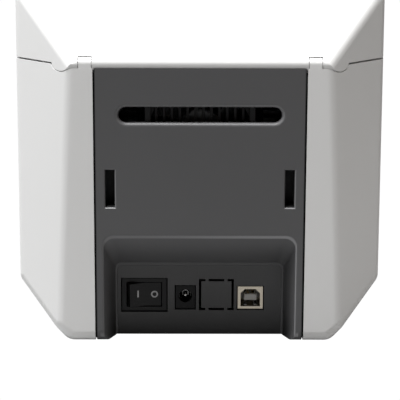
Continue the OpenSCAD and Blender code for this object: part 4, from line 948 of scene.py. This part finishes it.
def draw_roll(at, inner, outer):
    """A wound roll whose ends stand a little uneven, turn over turn."""
    def draw(bm):
        steps, uneven = 12, 0.22
        radii = [inner + (outer - inner) * k / steps for k in range(steps + 1)]
        near = [(r, -film_half - uneven * math.sin(2.4 * k + outer)) for k, r in enumerate(radii)]
        far = [(r, film_half + uneven * math.sin(1.7 * k + inner)) for k, r in enumerate(radii)]
        turned(bm, set_at(at, (1, 0, 0), (0, 1, 0)), near + far[::-1], 64, looped=True)
    return draw


def draw_flanges(at, rim, foot, hub):
    """A disc at each end of a spool. rim is its radius; its boss runs in from foot to hub."""
    bore, half, face, back = 6.05, 30.2, 1.1, 0.8
    profile = [(bore, 0), (rim - 0.3, 0), (rim, 0.3), (rim, back), (rim - 0.3, face), (rim - 1.4, face),
               (rim - 1.7, back), (foot, back), (hub, 1.5), (bore, 1.5)]

    def draw(bm):
        for side in (-1, 1):
            turned(bm, set_at((side * half, *at[1:]), (side, 0, 0), (0, 1, 0)), profile, 64, looped=True)
    return draw


make_piece("toothed_belt", "base", "belt_rubber", draw_toothed_belt, stands_for=("timing_belt",))
make_piece("ribbon_sheet", "base", "film", draw_film, stands_for=("ribbon_film",))
make_piece("supply_roll", "supply", "film", draw_roll(supply_at, 12.02, 12.7))
make_piece("takeup_roll", "takeup", "film", draw_roll(takeup_at, 8.02, 8.7))
make_piece("supply_flanges", "supply", "inner_plastic", draw_flanges(supply_at, 12.6, 8.0, 7.4))
make_piece("takeup_flanges", "takeup", "inner_plastic", draw_flanges(takeup_at, 8.5, 7.2, 6.9))


# Main board
board_top = in_mm(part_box("board_components")[0])[2]
chips = ((-3, 11, 77, 91), (-29, -11, 101.5, 110.5))
header_places = (-20, 0, 20)


def draw_board_parts(bm):
    """Capacitors, two chips, a heat sink, a coil block, three headers and a row of small parts."""
    z = board_top
    large = [(4.6, 0), (5.0, 0.4), (5.0, 1.3), (4.7, 1.6), (4.7, 1.9), (5.0, 2.2), (5.0, 11.4), (4.6, 11.9),
             (4.2, 11.9), (4.1, 11.7)]
    small = [(3.7, 0), (4.0, 0.3), (4.0, 1.2), (3.75, 1.45), (3.75, 1.7), (4.0, 1.95), (4.0, 7.5), (3.7, 7.9),
             (3.3, 7.9), (3.2, 7.75)]
    for x, y, profile in ((-28, 84, large), (-14, 84, large), (6, 116, small)):
        turned(bm, set_at((x, y, z), (0, 0, 1)), profile, 32)
    for x0, x1, y0, y1 in chips:
        box(bm, (x0, y0, z + 0.15), (x1, y1, z + 1.6), 0.2)
    sink_x, fins, fin_pitch = 16, 6, 3.4
    box(bm, (sink_x, 78, z), (sink_x + 18, 94, z + 2.9), 0.15)
    for fin in range(fins):
        x = sink_x + fin_pitch * fin
        box(bm, (x, 77, z + 2.7), (x + 1.0, 95, z + 13.8), 0.2)
    box(bm, (18, 108, z), (30, 120, z + 4.9), 0.5)
    walls = ((-6, 6, 64, 64.9), (-6, 6, 69.1, 70), (-6, -5.1, 64.8, 69.2), (5.1, 6, 64.8, 69.2))
    for x in header_places:
        box(bm, (x - 6, 64, z), (x + 6, 70, z + 2.2), 0.2)
        for x0, x1, y0, y1 in walls:
            box(bm, (x + x0, y0, z + 2), (x + x1, y1, z + 7), 0.12)
    screw_x, clear = 34, 4
    for k in range(14):
        x, y = -36 + 5.2 * k, 126 + 6 * math.sin(1.9 * k)
        if abs(abs(x) - screw_x) > clear:
            box(bm, (x, y, z), (x + 1.6, y + 0.8, z + 0.6), 0.08)


def draw_board_leads(bm):
    """Gull-wing legs of the two chips, and pins in the three headers."""
    z, pitch = board_top, 0.9
    lead = [(0.0, 0.75), (0.45, 0.75), (0.75, 0.15), (1.2, 0.1)]
    section = ((-0.2, 0), (0.2, 0), (0.2, 0.15), (-0.2, 0.15))

    def leg(x, y, dx, dy):
        """One leg, which leaves the chip along (dx, dy) and bends down to the board."""
        skin(bm, [[Vector((x + dx * out + s * abs(dy), y + dy * out + s * abs(dx), z + up + t))
                   for s, t in section] for out, up in lead])

    for x0, x1, y0, y1 in chips:
        for k in range(int((x1 - x0 - 1.5) / pitch) + 1):
            x = x0 + 1.0 + pitch * k
            leg(x, y0, 0, -1)
            leg(x, y1, 0, 1)
        if x1 - x0 < 15:
            for k in range(int((y1 - y0 - 1.5) / pitch) + 1):
                y = y0 + 1.0 + pitch * k
                leg(x0, y, -1, 0)
                leg(x1, y, 1, 0)
    for x in header_places:
        for k in range(5):
            box(bm, (x - 4.2 + 2 * k, 66.7, z + 2), (x - 3.6 + 2 * k, 67.3, z + 6.4), 0.08)


make_piece("board_parts", "base", "chip_black", draw_board_parts, stands_for=("board_components",))
make_piece("board_leads", "base", "bright_steel", draw_board_leads)
